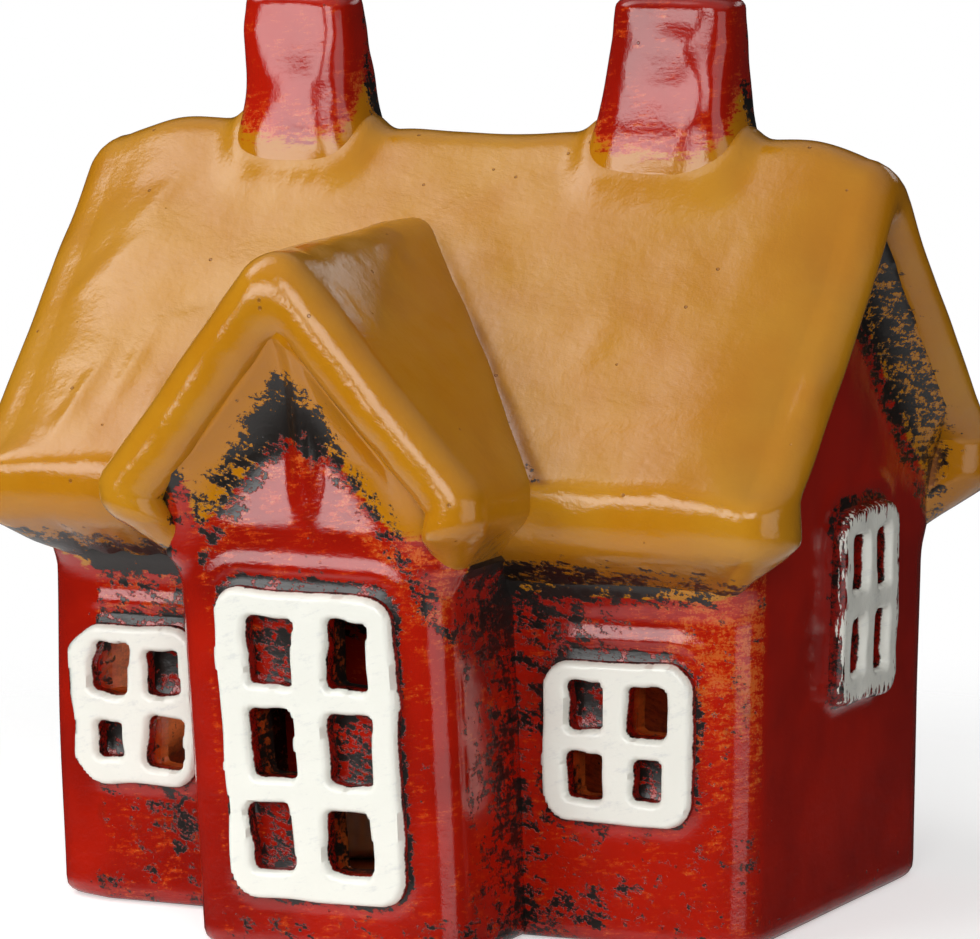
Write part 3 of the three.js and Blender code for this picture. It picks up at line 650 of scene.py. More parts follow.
# porch roof: an uneven gable carried along y from its round verge back into the main slope
def buildPorchRoof():
    foot, sides, lips = porch["foot"], (porch["left"], porch["right"]), []
    for side, out in zip(sides, (-1, 1)):
        lip = side + out * porchRoof["lipReach"]
        lips.append((lip, porchTop(lip), porchTop(lip) - porchRoof["lipFace"], porchRoof["lipRadius"]))
    top = porch["plate"] + porch["rise"] + porchRoof["ridgeRise"]
    ridge = (porch["ridgeAt"], top, porchRoof["ridgeRadius"])
    apexAt = np.linspace(-8, 4, 241)
    apexHigh = porchUnderside(apexAt)
    apex = (apexAt[apexHigh.argmax()], apexHigh.max(), porchRoof["apexRadius"])
    outer, inner = roofSection(porchRoof, sides, foot, lips, ridge, apex, porchUnderside)
    height = outer[:, 1]
    ahead, behind = porchRoof["verge"]
    verge = porch["front"] + behind - (ahead + behind) * smoothStep(foot - 2, foot + 10, height)
    frontHalf = mainOuter[: len(mainOuter) // 2 + 1]
    order = frontHalf[:, 1].argsort()
    back = np.interp(height, frontHalf[order, 1], frontHalf[order, 0]) + porchRoof["overlap"]
    section, y = roofLoops(porchRoof, outer, inner, verge, back, False)
    x, z = section[..., 0], section[..., 1]
    run = porchRoof["along"]
    under = np.concatenate([np.zeros(run), np.ones(run), np.zeros(len(noseTurn))])
    lower = np.concatenate([np.zeros(run), np.ones(run), 0.7 * noseUnder[::-1]])
    other = mainTop(y)
    onSlope = (np.arange(x.shape[1]) < run) & (z > mainRoof["lipHeight"] + 2)
    points = leanOver(np.stack([x, y, z], -1))
    bulge = pressed(points, *porchRoof["lumps"])
    points[..., 2] += valleyFill(z, other, onSlope) + bulge * smoothStep(*porchRoof["lumpsUp"], z)
    points[..., 1] += 0.8 * bulge
    inward = y - porch["front"]
    cove = 1 - smoothStep(foot - 1, foot + 6.5, z)
    # painted shade: the underside just behind the front verge is darkened, through the stain and the brown of
    # the wear mask
    shaded = lower * (1 - smoothStep(1, 2, inward)) * (0.55 + 0.45 * smoothStep(-5, 0, inward))
    valley = np.exp(-((z - other) / 2.0) ** 2) * (1 - smoothStep(60, 84, z)) * onSlope
    masks = {
        "stainAndShade": np.maximum.reduce([0.74 * cove, 0.68 * shaded, 0.58 * valley]),
        "wear": np.maximum.reduce([0.6 * (1 - smoothStep(51, 59, z)), 0.45 * shaded, 0.8 * valley]),
        "inside": under * smoothStep(1, 2, inward),
    }
    addPiece("roof_porch", handmade(points).reshape(-1, 3), loopFaces(*z.shape, False), ochreGlazeFinish,
             "house", ("porch_roof_left", "porch_roof_right"), masks, 50)


buildMainRoof()
buildPorchRoof()
print("roofs built")

gableWindow = {
    "size": (21.0, 27.0), "panes": (2, 2), "pane": (4.9, 7.6), "bars": (3.5, 3.7), "firstPierced": False,
    "ragged": 1,
}
# at is the middle on its wall; trim replaces the chance sizes of the panes
windows = {
    "window_porch": {
        "wall": "porch", "at": (-0.4, 28.8), "size": (26.5, 42.6), "panes": (2, 3), "pane": (6.3, 9.0),
        "bars": (4.9, 3.9), "firstPierced": False, "seed": 3, "node": "porch_window_pad", "upright": 0.05,
    },
    "window_front_left": {
        "wall": "front", "at": (-39.9, 28.4), "size": (19.0, 22.4), "panes": (2, 2), "pane": (5.2, 7.0),
        "bars": (3.2, 2.7), "firstPierced": True, "seed": 5, "node": "front_left_window_pad",
        "trim": ((1.0, 1.0), (0.97, 0.86), (0.76, 0.72), (1.02, 1.04)),
    },
    "window_front_right": {
        "wall": "front", "at": (32.7, 28.2), "size": (22.2, 22.4), "panes": (2, 2), "pane": (5.3, 6.5),
        "bars": (3.8, 2.7), "firstPierced": False, "seed": 8, "node": "front_right_window_pad",
        "trim": ((0.95, 1.0), (1.08, 1.02), (1.0, 0.96), (0.8, 0.84)),
    },
    "window_gable_right": {
        **gableWindow, "wall": "right", "at": (4.5, 43.0), "seed": 13, "node": "right_gable_window_pad",
    },
    "window_gable_left": {
        **gableWindow, "wall": "left", "at": (-4.5, 43.0), "seed": 17, "node": "left_gable_window_pad",
    },
}
pad = {
    "face": 2.5,  # height of the face over the wall, and of the edge before it rounds
    "edge": 1.1,
    "round": 0.8,
    "sunk": 0.6,
    "corner": 4.0,
    "paneCorner": 0.9,
    "outline": (0.42, 5.0, 1),  # height, size and seed of the waves of the outline, the panes and the face
    "paneWave": (0.36, 2.4, 2),
    "faceWave": (0.16, 4.5, 3),
    "shift": 0.35,  # how crooked panes are set, sized and turned
    "grow": (0.93, 1.08),
    "turn": 0.07,
    "clear": 0.9,  # holes in the wall are this much wider than the panes
    "blind": 2.1,  # depth of a blind pane in the wall
    "margin": 0.8,
    "step": 0.42,
}


# each pane of a window: middle, size, turn and whether it goes through; the seed sets its crookedness
def panesOf(window):
    columns, rows = window["panes"]
    wide, tall = window["pane"]
    chance = np.random.default_rng(window["seed"])
    found = []
    for row, column in np.ndindex(rows, columns):
        u = window["at"][0] + (column - (columns - 1) / 2) * (wide + window["bars"][0])
        v = window["at"][1] + ((rows - 1) / 2 - row) * (tall + window["bars"][1])
        shift = chance.uniform(-pad["shift"], pad["shift"], 2)
        grow = chance.uniform(*pad["grow"], 2)
        grow = window["trim"][len(found)] if "trim" in window else grow
        u += window.get("upright", 0) * (v - window["at"][1])
        found.append({
            "middle": (u + shift[0], v + shift[1]),
            "size": (wide * grow[0], tall * grow[1]),
            "angle": chance.uniform(-pad["turn"], pad["turn"]),
            "pierced": (row + column) % 2 == (0 if window["firstPierced"] else 1),
        })
    return found


# sheet cut by a distance function: cells of a grid are kept where it is positive, the corners on
# the cut slide onto the zero line, and front, back and cut edges are joined into one closed skin
def cutSheet(uLines, vLines, solid, wrap=False):
    u, v = np.meshgrid(uLines, vLines, indexing="ij")
    kept = solid((u[1:, 1:] + u[:-1, :-1]) / 2, (v[1:, 1:] + v[:-1, :-1]) / 2) > 0
    around = np.zeros((u.shape[0] + 1, u.shape[1] + 1), int)
    around[1:-1, 1:-1] = np.where(kept, 1, -1)
    if wrap:
        around[0], around[-1] = around[-2], around[1]
    quarters = np.stack([around[:-1, :-1], around[1:, :-1], around[:-1, 1:], around[1:, 1:]])
    onCut = (quarters.max(0) == 1) & (quarters.min(0) == -1)
    step = 0.05
    depth = solid(u, v)
    slopeU = (solid(u + step, v) - solid(u - step, v)) / (2 * step)
    slopeV = (solid(u, v + step) - solid(u, v - step)) / (2 * step)
    steep = np.maximum(slopeU ** 2 + slopeV ** 2, 0.2)
    u = np.where(onCut, u - np.clip(depth * slopeU / steep, -1, 1), u)
    v = np.where(onCut, v - np.clip(depth * slopeV / steep, -1, 1), v)
    rows, columns = u.shape
    front = np.arange(rows * columns).reshape(rows, columns)
    if wrap:
        front[-1] = front[0]
    toBack = rows * columns
    a, b, c, d = front[:-1, :-1], front[1:, :-1], front[1:, 1:], front[:-1, 1:]
    faces = [np.stack([a, b, c, d], -1)[kept], np.stack([a, d, c, b], -1)[kept] + toBack]
    wide = np.pad(kept, 1)
    if wrap:
        wide[0], wide[-1] = wide[-2], wide[1]
    beside = wide[1:-1, :-2], wide[2:, 1:-1], wide[1:-1, 2:], wide[:-2, 1:-1]
    for start, stop, neighbour in zip((a, b, c, d), (b, c, d, a), beside):
        rim = kept & ~neighbour
        faces.append(np.stack([stop, start, start + toBack, stop + toBack], -1)[rim])
    return u, v, np.concatenate(faces)


def dropUnused(points, faces, masks):
    used, compact = np.unique(faces, return_inverse=True)
    masks = {key: np.ravel(mask)[used] for key, mask in masks.items()}
    return points[used], compact.reshape(faces.shape).tolist(), masks


# lines across a sheet: even steps, with the edges of every pane doubled so that they stay crisp
def sheetLines(low, high, step, edges):
    even = np.linspace(low, high, max(2, int(round((high - low) / step)) + 1))
    extra = np.array([e + s for e in edges for s in (-0.25, 0.25) if low < e + s < high])
    even = even[[not np.any(np.abs(extra - e) < 0.4) for e in even]] if len(extra) else even
    lines = np.unique(np.round(np.concatenate([[low], even, extra, [high]]), 4))
    return lines[np.concatenate([[True], np.diff(lines) > 0.1])]


# a point on a wall's face: u to the right, v up, rise outwards
def placeOnWall(wall, u, v, rise):
    plan = {
        "front": (u, -house["halfDepth"] - rise),
        "right": (house["halfWidth"] + rise, u),
        "left": (-house["halfWidth"] - rise, -u),
        "porch": (porch["middle"] + u, porch["front"] - rise),
    }
    points = np.stack([*plan[wall], v], -1)
    return handmade(leanOver(points) if wall == "porch" else points)


# window pad: a perforated plate whose face is pillowed by sqrt(1 - (1 - d/r)^2), d from its nearest edge
def buildWindow(name, window):
    panes = panesOf(window)
    (midU, midV), (wide, tall) = window["at"], window["size"]
    seed = window["seed"]

    def wave(u, v, height, size, key):
        return height * lumps(np.stack([u, v, np.full_like(u, 7.3 * seed)], -1), size, seed + key)

    def inward(u, v):
        return -boxDistance(u, v, (midU, midV), (wide, tall), pad["corner"])

    def solid(u, v):
        edge = inward(u, v) + wave(u, v, *pad["outline"])
        for pane in panes:
            hole = boxDistance(u, v, pane["middle"], pane["size"], pad["paneCorner"], pane["angle"])
            edge = np.minimum(edge, hole + wave(u, v, *pad["paneWave"]))
        return edge

    uLines, vLines = (
        np.arange(middle - size / 2 - pad["margin"], middle + size / 2 + pad["margin"], pad["step"])
        for middle, size in ((midU, wide), (midV, tall))
    )
    u, v, faces = cutSheet(uLines, vLines, solid)
    near = np.clip(solid(u, v), 0, pad["round"]) / pad["round"]
    crown = np.sqrt(1 - (1 - near) ** 2)
    face = pad["edge"] + (pad["face"] - pad["edge"]) * crown + wave(u, v, *pad["faceWave"]) * crown
    rise = np.stack([face, np.full_like(face, -pad["sunk"])])
    points = placeOnWall(window["wall"], np.stack([u, u]), np.stack([v, v]), rise)
    masks = {
        "rise": rise,
        "rim": np.stack([inward(u, v)] * 2),
        "ragged": np.full_like(rise, window.get("ragged", 0)),
    }
    points, faces, masks = dropUnused(points.reshape(-1, 3), faces, masks)
    addPiece(name, points, faces, whiteGlazeFinish, "house", (window["node"],), masks, 60)


for windowName, windowSpec in windows.items():
    buildWindow(windowName, windowSpec)

walls = {
    # the last value of each is the stain on the inside face: soot, and painted shade, heavier inside the
    # porch
    "main": {"step": 1.15, "knee": 58.0, "ceiling": 100.0, "rows": 36, "sootAndShade": 0.35},
    "porch": {"step": 0.9, "knee": 54.0, "ceiling": 90.0, "rows": 34, "sootAndShade": 0.72},
    "footRows": (0.3, 0.7),
    "footRound": 1.8,
    "squeeze": 8.5,  # beside a corner the inner face is squeezed over this length
    "intoRoof": (3.0, 1.4),  # how far the outer and the inner face run up into the roof
    "door": (-23.0, 21.0, 4.7, 51.0),  # middle, half width, sill and crown of the candle doorway
    "passage": (14.0, -2.0, 32.0, 2.0),  # half width, foot, crown and rise of the way into the porch
    "porchBack": 2.0,  # porch walls end this far inside the front wall
    "vergeCove": (4.6, 10.0),  # depth and reach of the clay drawn out under a verge
    "eaveCove": (2.2, 4.5),
    "padFillet": (0.6, 1.5),  # height and reach of the clay round a pad
    "brow": (0.5, 2.8, 1.0),  # height, distance and width of the ridge of clay over a pad
    "shade": 1.0,  # the painted shade and stain over a pad reach this much higher
    "reveal": (0.9, 1.2),  # depth and reach of the dip round an opening
    "fold": (1.7, 0.17, 58.2, 9),  # half width of the porch gable's fold; lean, start and height beside it
    "slant": 1.5,  # height over square distance under a slope
}


# plan stations along a rounded path: outside and inside point, outward normal, wall and place on it
def planStations(sides, closed):
    corner, innerCorner, thickness = house["corner"], house["innerCorner"], house["wall"]
    outside, inside, normal, names, along = [], [], [], [], []
    for i, side in enumerate(sides):
        u = side["u"]
        start, direction, out = (np.array(side[key]) for key in ("origin", "along", "out"))
        outside.append(start + u[:, None] * direction)
        bent = u.copy()
        for end, sign in ((side["high"], 1), (side["low"], -1)):
            if end is None:
                continue
            knee = end - sign * walls["squeeze"]
            past = (u - knee) * sign > 0
            squeezed = walls["squeeze"] + corner - thickness - innerCorner
            bent[past] = knee + (u[past] - knee) * squeezed / walls["squeeze"]
        inside.append(start - thickness * out + bent[:, None] * direction)
        normal.append(np.repeat(out[None], len(u), 0))
        names += [side["name"]] * len(u)
        along.append(u)
        if not closed and i == len(sides) - 1:
            continue
        after = sides[(i + 1) % len(sides)]
        turn = np.radians(np.linspace(0, 90, 7))[1:-1, None]
        sweep = np.cos(turn) * out + np.sin(turn) * np.array(after["out"])
        outside.append(outside[-1][-1] - corner * out + corner * sweep)
        inside.append(inside[-1][-1] - innerCorner * out + innerCorner * sweep)
        normal.append(sweep)
        names += [side["name"]] * len(sweep)
        along.append(u[-1] + (corner * turn)[:, 0])
    outside, inside, normal, along = (np.concatenate(part) for part in (outside, inside, normal, along))
    return outside, inside, normal, np.array(names), along


# stain, wear and run of roof glaze on a wall; below is the distance to the roof over it, halo to the
# nearest pad, shade to that pad a little higher; stain gathers under the roof, round the pads and at the
# foot; painted shade darkens the wall beside the porch, the porch's right side, the crease round the pads
# and the floors of blind panes, mixed with stain there; wear at the right-hand corner
def wallMarks(side, u, z, below, halo, shade):
    def upTo(full, end):
        return 1 - smoothStep(full, end, below)

    front, porchRight = side == "front", side == "porchRight"
    # painted shade: the walls grow darker towards the porch, in the corners where they meet it
    shadeTowardPorch = np.where(u < 0, smoothStep(-52, -24, u), 1 - smoothStep(20, 46, u))
    plain = np.maximum(0.84 * upTo(0.8, 3), 0.5 * upTo(4, 11))
    thin = upTo(0.3, 2)
    leftStainAndShade = np.maximum.reduce([
        0.88 * upTo(1.5, 4),
        (0.50 + 0.10 * shadeTowardPorch) * upTo(8, 14),
        0.40 + 0.14 * np.exp(-((u + 33) / 9) ** 2) * (1 - smoothStep(15, 22, z)),
    ])
    rightStainAndShade = np.maximum.reduce([
        (0.62 + 0.18 * shadeTowardPorch) * upTo(1, 4),
        (0.3 + 0.32 * shadeTowardPorch) * upTo(8, 16),
        # painted shade in the strip of front wall right beside the porch
        0.56 * (1 - smoothStep(20, 25, u)),
        0.43 + 0.09 * (1 - smoothStep(12, 20, z)) * (1 - smoothStep(26, 44, u)),
    ])
    rear = smoothStep(-3, 3, np.where(side == "right", u, -u))
    gableStain = np.maximum.reduce([
        (0.62 + 0.05 * smoothStep(52, 70, z)) * rear * smoothStep(-5, 1, below) * upTo(8, 12.5),
        0.6 * upTo(1.5, 4) * (1 - rear),
        0.78 * smoothStep(82, 90, z),
    ])
    left = 1 - smoothStep(-4, 1, u)
    dark = smoothStep(-0.5 - left, 7 - 2 * left, below) * upTo(9, 13.5) * (0.60 + 0.04 * left)
    porchStain = np.maximum(dark + 0.16 * smoothStep(66, 74, z) * upTo(9, 12), 0.3 * upTo(12, 17))
    # painted shade: the porch's right side, turned away from the light, is darkened all over, on top of the
    # stain under its roof
    sideStainAndShade = np.maximum(plain, 0.5 + 0.14 * smoothStep(8, 20, u) + 0.1 * upTo(5, 18))
    rightWear = 0.42 + 0.3 * smoothStep(32, 46, u) * smoothStep(14, 40, z)
    porchWear = 0.4 + 0.2 * upTo(9, 16) + 0.2 * (1 - smoothStep(-19, -14, u))
    # where, stain and painted shade, wear, roof glaze
    kinds = [
        (front & (u < 0), leftStainAndShade, 0.42 + 0.2 * upTo(6, 14), thin),
        (front & (u > 0), rightStainAndShade, rightWear, thin),
        ((side == "right") | (side == "left"), gableStain, 0.06 + 0.3 * rear * upTo(8, 13),
         rear * upTo(4.5, 8) + (1 - rear) * upTo(1.5, 4)),
        (side == "porch", porchStain, porchWear, upTo(5.5, 9) * smoothStep(55, 61, z)),
        (porchRight, sideStainAndShade, np.full_like(z, 0.4), thin),
    ]
    where = [kind[0] for kind in kinds]
    elsewhere = (plain, 0.4 * upTo(3, 14), thin)
    stainAndShade, wear, ochre = (np.select(where, [k[i + 1] for k in kinds], elsewhere[i]) for i in range(3))
    face = front | (side == "porch") | porchRight
    low = 1 - smoothStep(2, 16, z)
    # painted shade and stain in the crease round each pad, reaching higher over its top
    padStainAndShade = 0.72 * np.exp(-(np.minimum(halo, shade) / 1.1) ** 2)
    stainAndShade = np.maximum.reduce([stainAndShade, np.where(face, 0.34, 0.2), np.where(face, 0.46, 0.36) * low, padStainAndShade])
    wear = np.maximum(wear, np.where(face, 0.44, 0.2) * low)
    # beneath a pad and on the floors of blind panes: painted shade in the recess, with stain
    under = halo <= 0
    return np.where(under, 0.65, stainAndShade), np.where(under, 0.4, wear), np.where(under, 0, ochre)


# wall shell over plan stations and heights; heights above the knee are squeezed under the roof; a wall
# flares by depth (1 - gap / reach)^2.3 towards the roof over it
def buildWalls(name, shell):
    outside, inside, normal, names, along = shell["stations"]
    knee, ceiling, closed = shell["knee"], shell["ceiling"], shell["closed"]
    count = len(along) + (1 if closed else 0)
    lookup = np.arange(count) % len(along)

    # the stations on either side of a place along the plan, and the share of the second one
    def beside(s, last):
        whole = np.clip(np.floor(s).astype(int), 0, last)
        return lookup[whole], lookup[np.minimum(whole + 1, count - 1)], s - whole

    def holes(s, v):
        here, there, part = beside(s, count - 2)
        u = along[here] * (1 - part) + along[there] * part
        gap = np.full(s.shape, farAway)
        for wall, shape in shell["openings"]:
            on = (names[here] == wall) & (names[there] == wall)
            gap = np.where(on, np.minimum(gap, shape(u, v)), gap)
        return gap

    even = sheetLines(0, knee, shell["step"], shell["heights"])
    heights = np.concatenate([walls["footRows"], even, np.linspace(knee, ceiling, shell["rows"])[1:]])
    s, v, faces = cutSheet(np.arange(count, dtype=float), np.unique(heights), holes, closed)
    here, there, part = beside(s, count - 1)
    outXY, inXY, out = (p[here] * (1 - part[..., None]) + p[there] * part[..., None]
                        for p in (outside, inside, normal))
    u, side = along[here] * (1 - part) + along[there] * part, names[here]

    def lift(top):
        return np.where(v <= knee, v, knee + (v - knee) / (ceiling - knee) * (top - knee))

    def flare(gap, depth, reach):
        return depth * np.clip(1 - gap / reach, 0, 1) ** 2.3

    def nearest(shapes, up):
        gap = np.full(zOut.shape, farAway)
        for wall, shape in shapes:
            gap = np.where(side == wall, np.minimum(gap, shape(u, zOut - up)), gap)
        return gap

    roofOut, roofIn = (shell["underside"](xy[..., 1 - shell["gableAxis"]]) for xy in (outXY, inXY))
    zOut, zIn = (lift(roof + more) for roof, more in zip((roofOut, roofIn), walls["intoRoof"]))
    onGable = out[..., shell["gableAxis"]] ** 2
    underVerge = np.maximum(roofOut - zOut, 0) / walls["slant"]
    underEave = np.maximum(shell["foot"] + 1.0 - zOut, 0)
    below = onGable * underVerge + (1 - onGable) * underEave
    push = onGable * flare(underVerge, *walls["vergeCove"])
    push += (1 - onGable) * flare(underEave, *walls["eaveCove"])
    heel = np.clip(walls["footRound"] - v, 0, walls["footRound"])
    push -= walls["footRound"] - np.sqrt(walls["footRound"] ** 2 - heel ** 2)
    halo, shade = (nearest(shell["pads"], up) for up in (0, walls["shade"]))
    high, reach = walls["padFillet"]
    push += high * np.clip(1 - halo / reach, 0, 1) ** 2
    high, place, width = walls["brow"]
    push += high * np.clip(halo - shade, 0, 1) * np.exp(-((halo - place) / width) ** 2)
    depth, reach = walls["reveal"]
    for opening in shell["openings"]:
        push -= depth * np.clip(1 - nearest([opening], 0) / reach, 0, 1) ** 2
    # floors of the blind panes, shallower towards their foot
    for wall, shape, bottom, tall in shell["recesses"]:
        downward = 1 - np.clip((zOut - bottom) / tall, 0, 1)
        within = 1 - smoothStep(-0.05, 0.45, nearest([(wall, shape)], 0))
        push -= pad["blind"] * within * (1 - 0.3 * downward ** 2)
    # the porch gable leans back on either side of an upright fold
    width, lean, start, tall = walls["fold"]
    fold = 1 - np.exp(-(u / width) ** 2)
    push -= np.where(side == "porch", lean * fold * np.clip(zOut - start, 0, tall), 0)
    outer = np.concatenate([outXY + out * push[..., None], zOut[..., None]], -1)
    inner = np.concatenate([inXY, zIn[..., None]], -1)
    stainAndShade, wear, ochre = wallMarks(side, u, zOut, below, halo, shade)
    none = np.zeros_like(stainAndShade)
    masks = {
        "ochre": np.stack([ochre, none]),
        # inside face: soot and painted shade
        "stainAndShade": np.stack([stainAndShade, none + shell["sootAndShade"]]),
        "wear": np.stack([wear, none]),
        "inside": np.stack([none, none + 1]),
    }
    flat = np.stack([outer, inner]).reshape(-1, 3)
    flat = handmade(leanOver(flat) if name == "walls_porch" else flat)
    flat, faces, masks = dropUnused(flat, faces, masks)
    addPiece(name, flat, faces, redGlazeFinish, "house", shell["nodes"], masks, 42)


# what the windows of some walls do to them: openings, recesses and pads as distance functions, and the
# places and heights of the panes' edges
def windowShapes(wanted):
    shapes = {"openings": [], "recesses": [], "pads": [], "heights": []}
    edges = {wall: [] for wall in wanted}
    for window in windows.values():
        wall = window["wall"]
        if wall not in wanted:
            continue
        for pane in panesOf(window):
            (u, v), (wide, tall) = pane["middle"], (side + pad["clear"] for side in pane["size"])
            shape = lambda a, b, p=pane, s=(wide, tall): boxDistance(
                a, b, p["middle"], s, pad["paneCorner"], p["angle"])
            if pane["pierced"]:
                shapes["openings"].append((wall, shape))
            else:
                shapes["recesses"].append((wall, shape, v - tall / 2, tall))
            edges[wall] += [u - wide / 2, u + wide / 2]
            shapes["heights"] += [v - tall / 2, v + tall / 2]
        shapes["pads"].append((wall, lambda a, b, w=window: np.maximum(
            boxDistance(a, b, w["at"], w["size"], pad["corner"]), 0)))
    return shapes, edges


# rows of a plan into sides: name, places along it, its bent ends, origin, direction and outward normal
def namedSides(plan):
    keys = ("name", "u", "low", "high", "origin", "along", "out")
    return [dict(zip(keys, row)) for row in plan]


def buildMainWalls():
    wide, deep = house["halfWidth"], house["halfDepth"]
    shapes, edges = windowShapes(("front", "right", "left"))
    doorAt, doorHalf, sill, crown = walls["door"]
    shapes["openings"] += [
        ("rear", lambda u, v: archDistance(u + doorAt, v, doorHalf, sill, crown, doorHalf)),
        ("front", lambda u, v: archDistance(u - porch["middle"], v, *walls["passage"])),
    ]
    plan = []
    for side, half, origin, direction, out in (
        ("front", wide, (0, -deep), (1, 0), (0, -1)),
        ("right", deep, (wide, 0), (0, 1), (1, 0)),
        ("rear", wide, (0, deep), (-1, 0), (0, 1)),
        ("left", deep, (-wide, 0), (0, -1), (-1, 0)),
    ):
        end = half - house["corner"]
        u = sheetLines(-end, end, walls["main"]["step"], edges.get(side, []))
        plan.append((side, u, -end, end, origin, direction, out))
    buildWalls("walls_main", {
        **walls["main"], **shapes, "stations": planStations(namedSides(plan), True), "closed": True,
        "underside": mainUnderside, "gableAxis": 0, "foot": house["foot"],
        "nodes": ("front_wall", "right_gable_wall", "rear_wall", "left_gable_wall"),
    })


def buildPorchWalls():
    shapes, edges = windowShapes(("porch",))
    corner, front, back = house["corner"], porch["front"], -house["halfDepth"] + walls["porchBack"]
    depth, end = back - front, porch["halfWidth"] - corner
    low, bend = -end - porch["leftOut"], back - front - corner
    across = sheetLines(low, end, walls["porch"]["step"], edges["porch"])
    plan = [
        ("porchLeft", np.linspace(0, bend, 20), None, bend, (porch["left"], back), (0, -1), (-1, 0)),
        ("porch", across, low, end, (porch["middle"], front), (1, 0), (0, -1)),
        ("porchRight", np.linspace(corner, depth, 20), corner, None, (porch["right"], front), (0, 1), (1, 0)),
    ]
    buildWalls("walls_porch", {
        **walls["porch"], **shapes, "stations": planStations(namedSides(plan), False), "closed": False,
        "underside": porchUnderside, "gableAxis": 1, "foot": porch["foot"],
        "nodes": ("porch_front_wall", "porch_right_wall", "porch_left_wall"),
    })


buildMainWalls()
buildPorchWalls()
print("walls built")

flue = {
    "size": (6.6, 5.6),
    "square": 4.0,  # power of the superellipse
    "rim": 1.7,
    "sunk": 16.0,  # the foot goes this far below the ridge
    "bend": 4.0,  # rows are closer together up to this height over the ridge
    "rows": (30, 26, 11, 24),  # up to the bend, up to the rim, over it and down the flue
    "flare": (1.5, 9.0),  # how far and up to what height the foot spreads over the roof
    "lumps": ((0.42, 7.0), (0.10, 3.0)),
    "around": 72,
}


# chimney: a rounded square (superellipse) whose size and middle follow a profile up the outside, over
# the rim and down the flue; the foot spreads by flare (1 - gap / height)^2 over the ridge
def buildChimney(name, chimney):
    ridge, rise, rim, around = house["ridge"], chimney["rise"], flue["rim"], flue["around"]
    top, low, bend = ridge + rise, ridge - flue["sunk"], ridge + flue["bend"]
    lowRows, highRows, rimRows, flueRows = flue["rows"]
    up = np.concatenate([np.linspace(low, bend, lowRows), np.linspace(bend, top - rim, highRows)[1:]])
    foot, head, bore = (np.array(size) for size in (chimney["foot"], chimney["top"], flue["size"]))
    size = foot + (head - foot) * np.clip((up - ridge) / rise, 0, 1)[:, None]
    turn = np.radians(np.linspace(0, 180, rimRows))[1:-1]
    lip = (size[-1] + bore) / 2 + (size[-1] - bore) / 2 * np.cos(turn)[:, None]
    height = np.concatenate([up, top - rim + rim * np.sin(turn), np.linspace(top - rim, low, flueRows)])
    size = np.concatenate([size, lip, np.repeat(bore[None], flueRows, 0)])
    middle = chimney["at"] + chimney["lean"] * np.clip((height - ridge) / rise, 0, 1.05)
    angle = np.linspace(0, 2 * math.pi, around, endpoint=False)
    power = 2 / flue["square"]
    ringX, ringY = (np.sign(c) * np.abs(c) ** power / 2 for c in (np.cos(angle), np.sin(angle)))
    x, y = middle[:, None] + size[:, :1] * ringX, size[:, 1:] * ringY
    z = np.repeat(height[:, None], around, 1)
    points = np.stack([x, y, z], -1)
    inFlue = np.arange(len(height))[:, None] >= len(up) + len(turn) // 2 + 2
    inFlue = np.repeat(inFlue, around, 1)
    bulge = np.zeros_like(z)
    for i, (high, wide) in enumerate(flue["lumps"]):
        bulge += high * lumps(points, wide, chimney["seed"] + i)
    overRoof = z - mainTop(y) + 1.0
    spread, high = flue["flare"]
    bulge += spread * np.clip(1 - (overRoof - 1.5) / high, 0, 0.8) ** 2
    away = np.stack([ringX, ringY, np.zeros_like(ringX)], -1) * 2
    points = points + np.where(inFlue, 0, bulge)[..., None] * away
    farEdge = smoothStep(0.3, 0.45, ringX) * smoothStep(-0.25, 0.15, ringY)
    masks = {
        "stainAndShade": np.where(inFlue, 0.8, (0.5 + 0.3 * np.exp(-((overRoof - 5) / 4.0) ** 2)) * farEdge),
        "wear": np.where(inFlue, 0, 0.36 + 0.4 * (1 - smoothStep(5, 14, overRoof))),
        "ochre": np.where(inFlue, 0, 1 - smoothStep(3.0, 10.5, overRoof)),
        "inside": inFlue.astype(float),
    }
    addPiece(name, handmade(points).reshape(-1, 3), loopedQuads(len(height), around), redGlazeFinish,
             "house", (chimney["node"],), masks, 60)


for chimneyName, chimneySpec in chimneys.items():
    buildChimney(chimneyName, chimneySpec)

candle = {
    "at": (-23.0, 0.0, 5.3),
    "flutes": 72,
    "flute": 0.1,
    "radius": 18,
    "fluted": ((1.2, 3.0), (12.2, 13.8)),  # heights over which the pleats begin and end
    "strand": 0.1,
    "strands": 3,
    "strandTurn": 2.4,
    "bend": (0.7, 13, 6.5),  # how far the wick's tip bends, from what height and over what length
    "burnt": (23.0, 26.0),
    # profiles as corners (radius, height, rounding) with the points between them
    "cup": (((0.4, 0, 0), (18.0, 0, 1.5), (18.4, 14.2, 0.2), (19.0, 14.3, 0.4), (19.0, 15.5, 0.55),
             (17.9, 15.5, 0.3), (17.4, 0.6, 0.9), (0.4, 0.6, 0)), (12, 22, 5, 8, 6, 22, 12)),
    "wax": (((6.35, 0.9, 0), (17.1, 0.9, 1.2), (17.5, 12.7, 0.2), (16.4, 12.25, 0.8), (3.2, 11.85, 1.5),
             (1.25, 12.3, 0.1), (1.2, 4.85, 0), (2.4, 4.85, 0), (2.4, 1.85, 0), (6.35, 1.85, 0)),
            (8, 14, 5, 16, 6, 8, 3, 4, 5)),
    "tab": (((1.2, 0.9, 0), (6.0, 0.9, 0.15), (6.0, 1.5, 0.2), (2.1, 1.5, 0.35), (2.1, 4.5, 0.2),
             (1.2, 4.5, 0)), (6, 3, 8, 8, 3)),
    "wick": (((0.15, 0.9, 0), (0.9, 0.95, 0.1), (0.75, 19.3, 0.25), (0.15, 19.4, 0)), (3, 90, 4)),
}


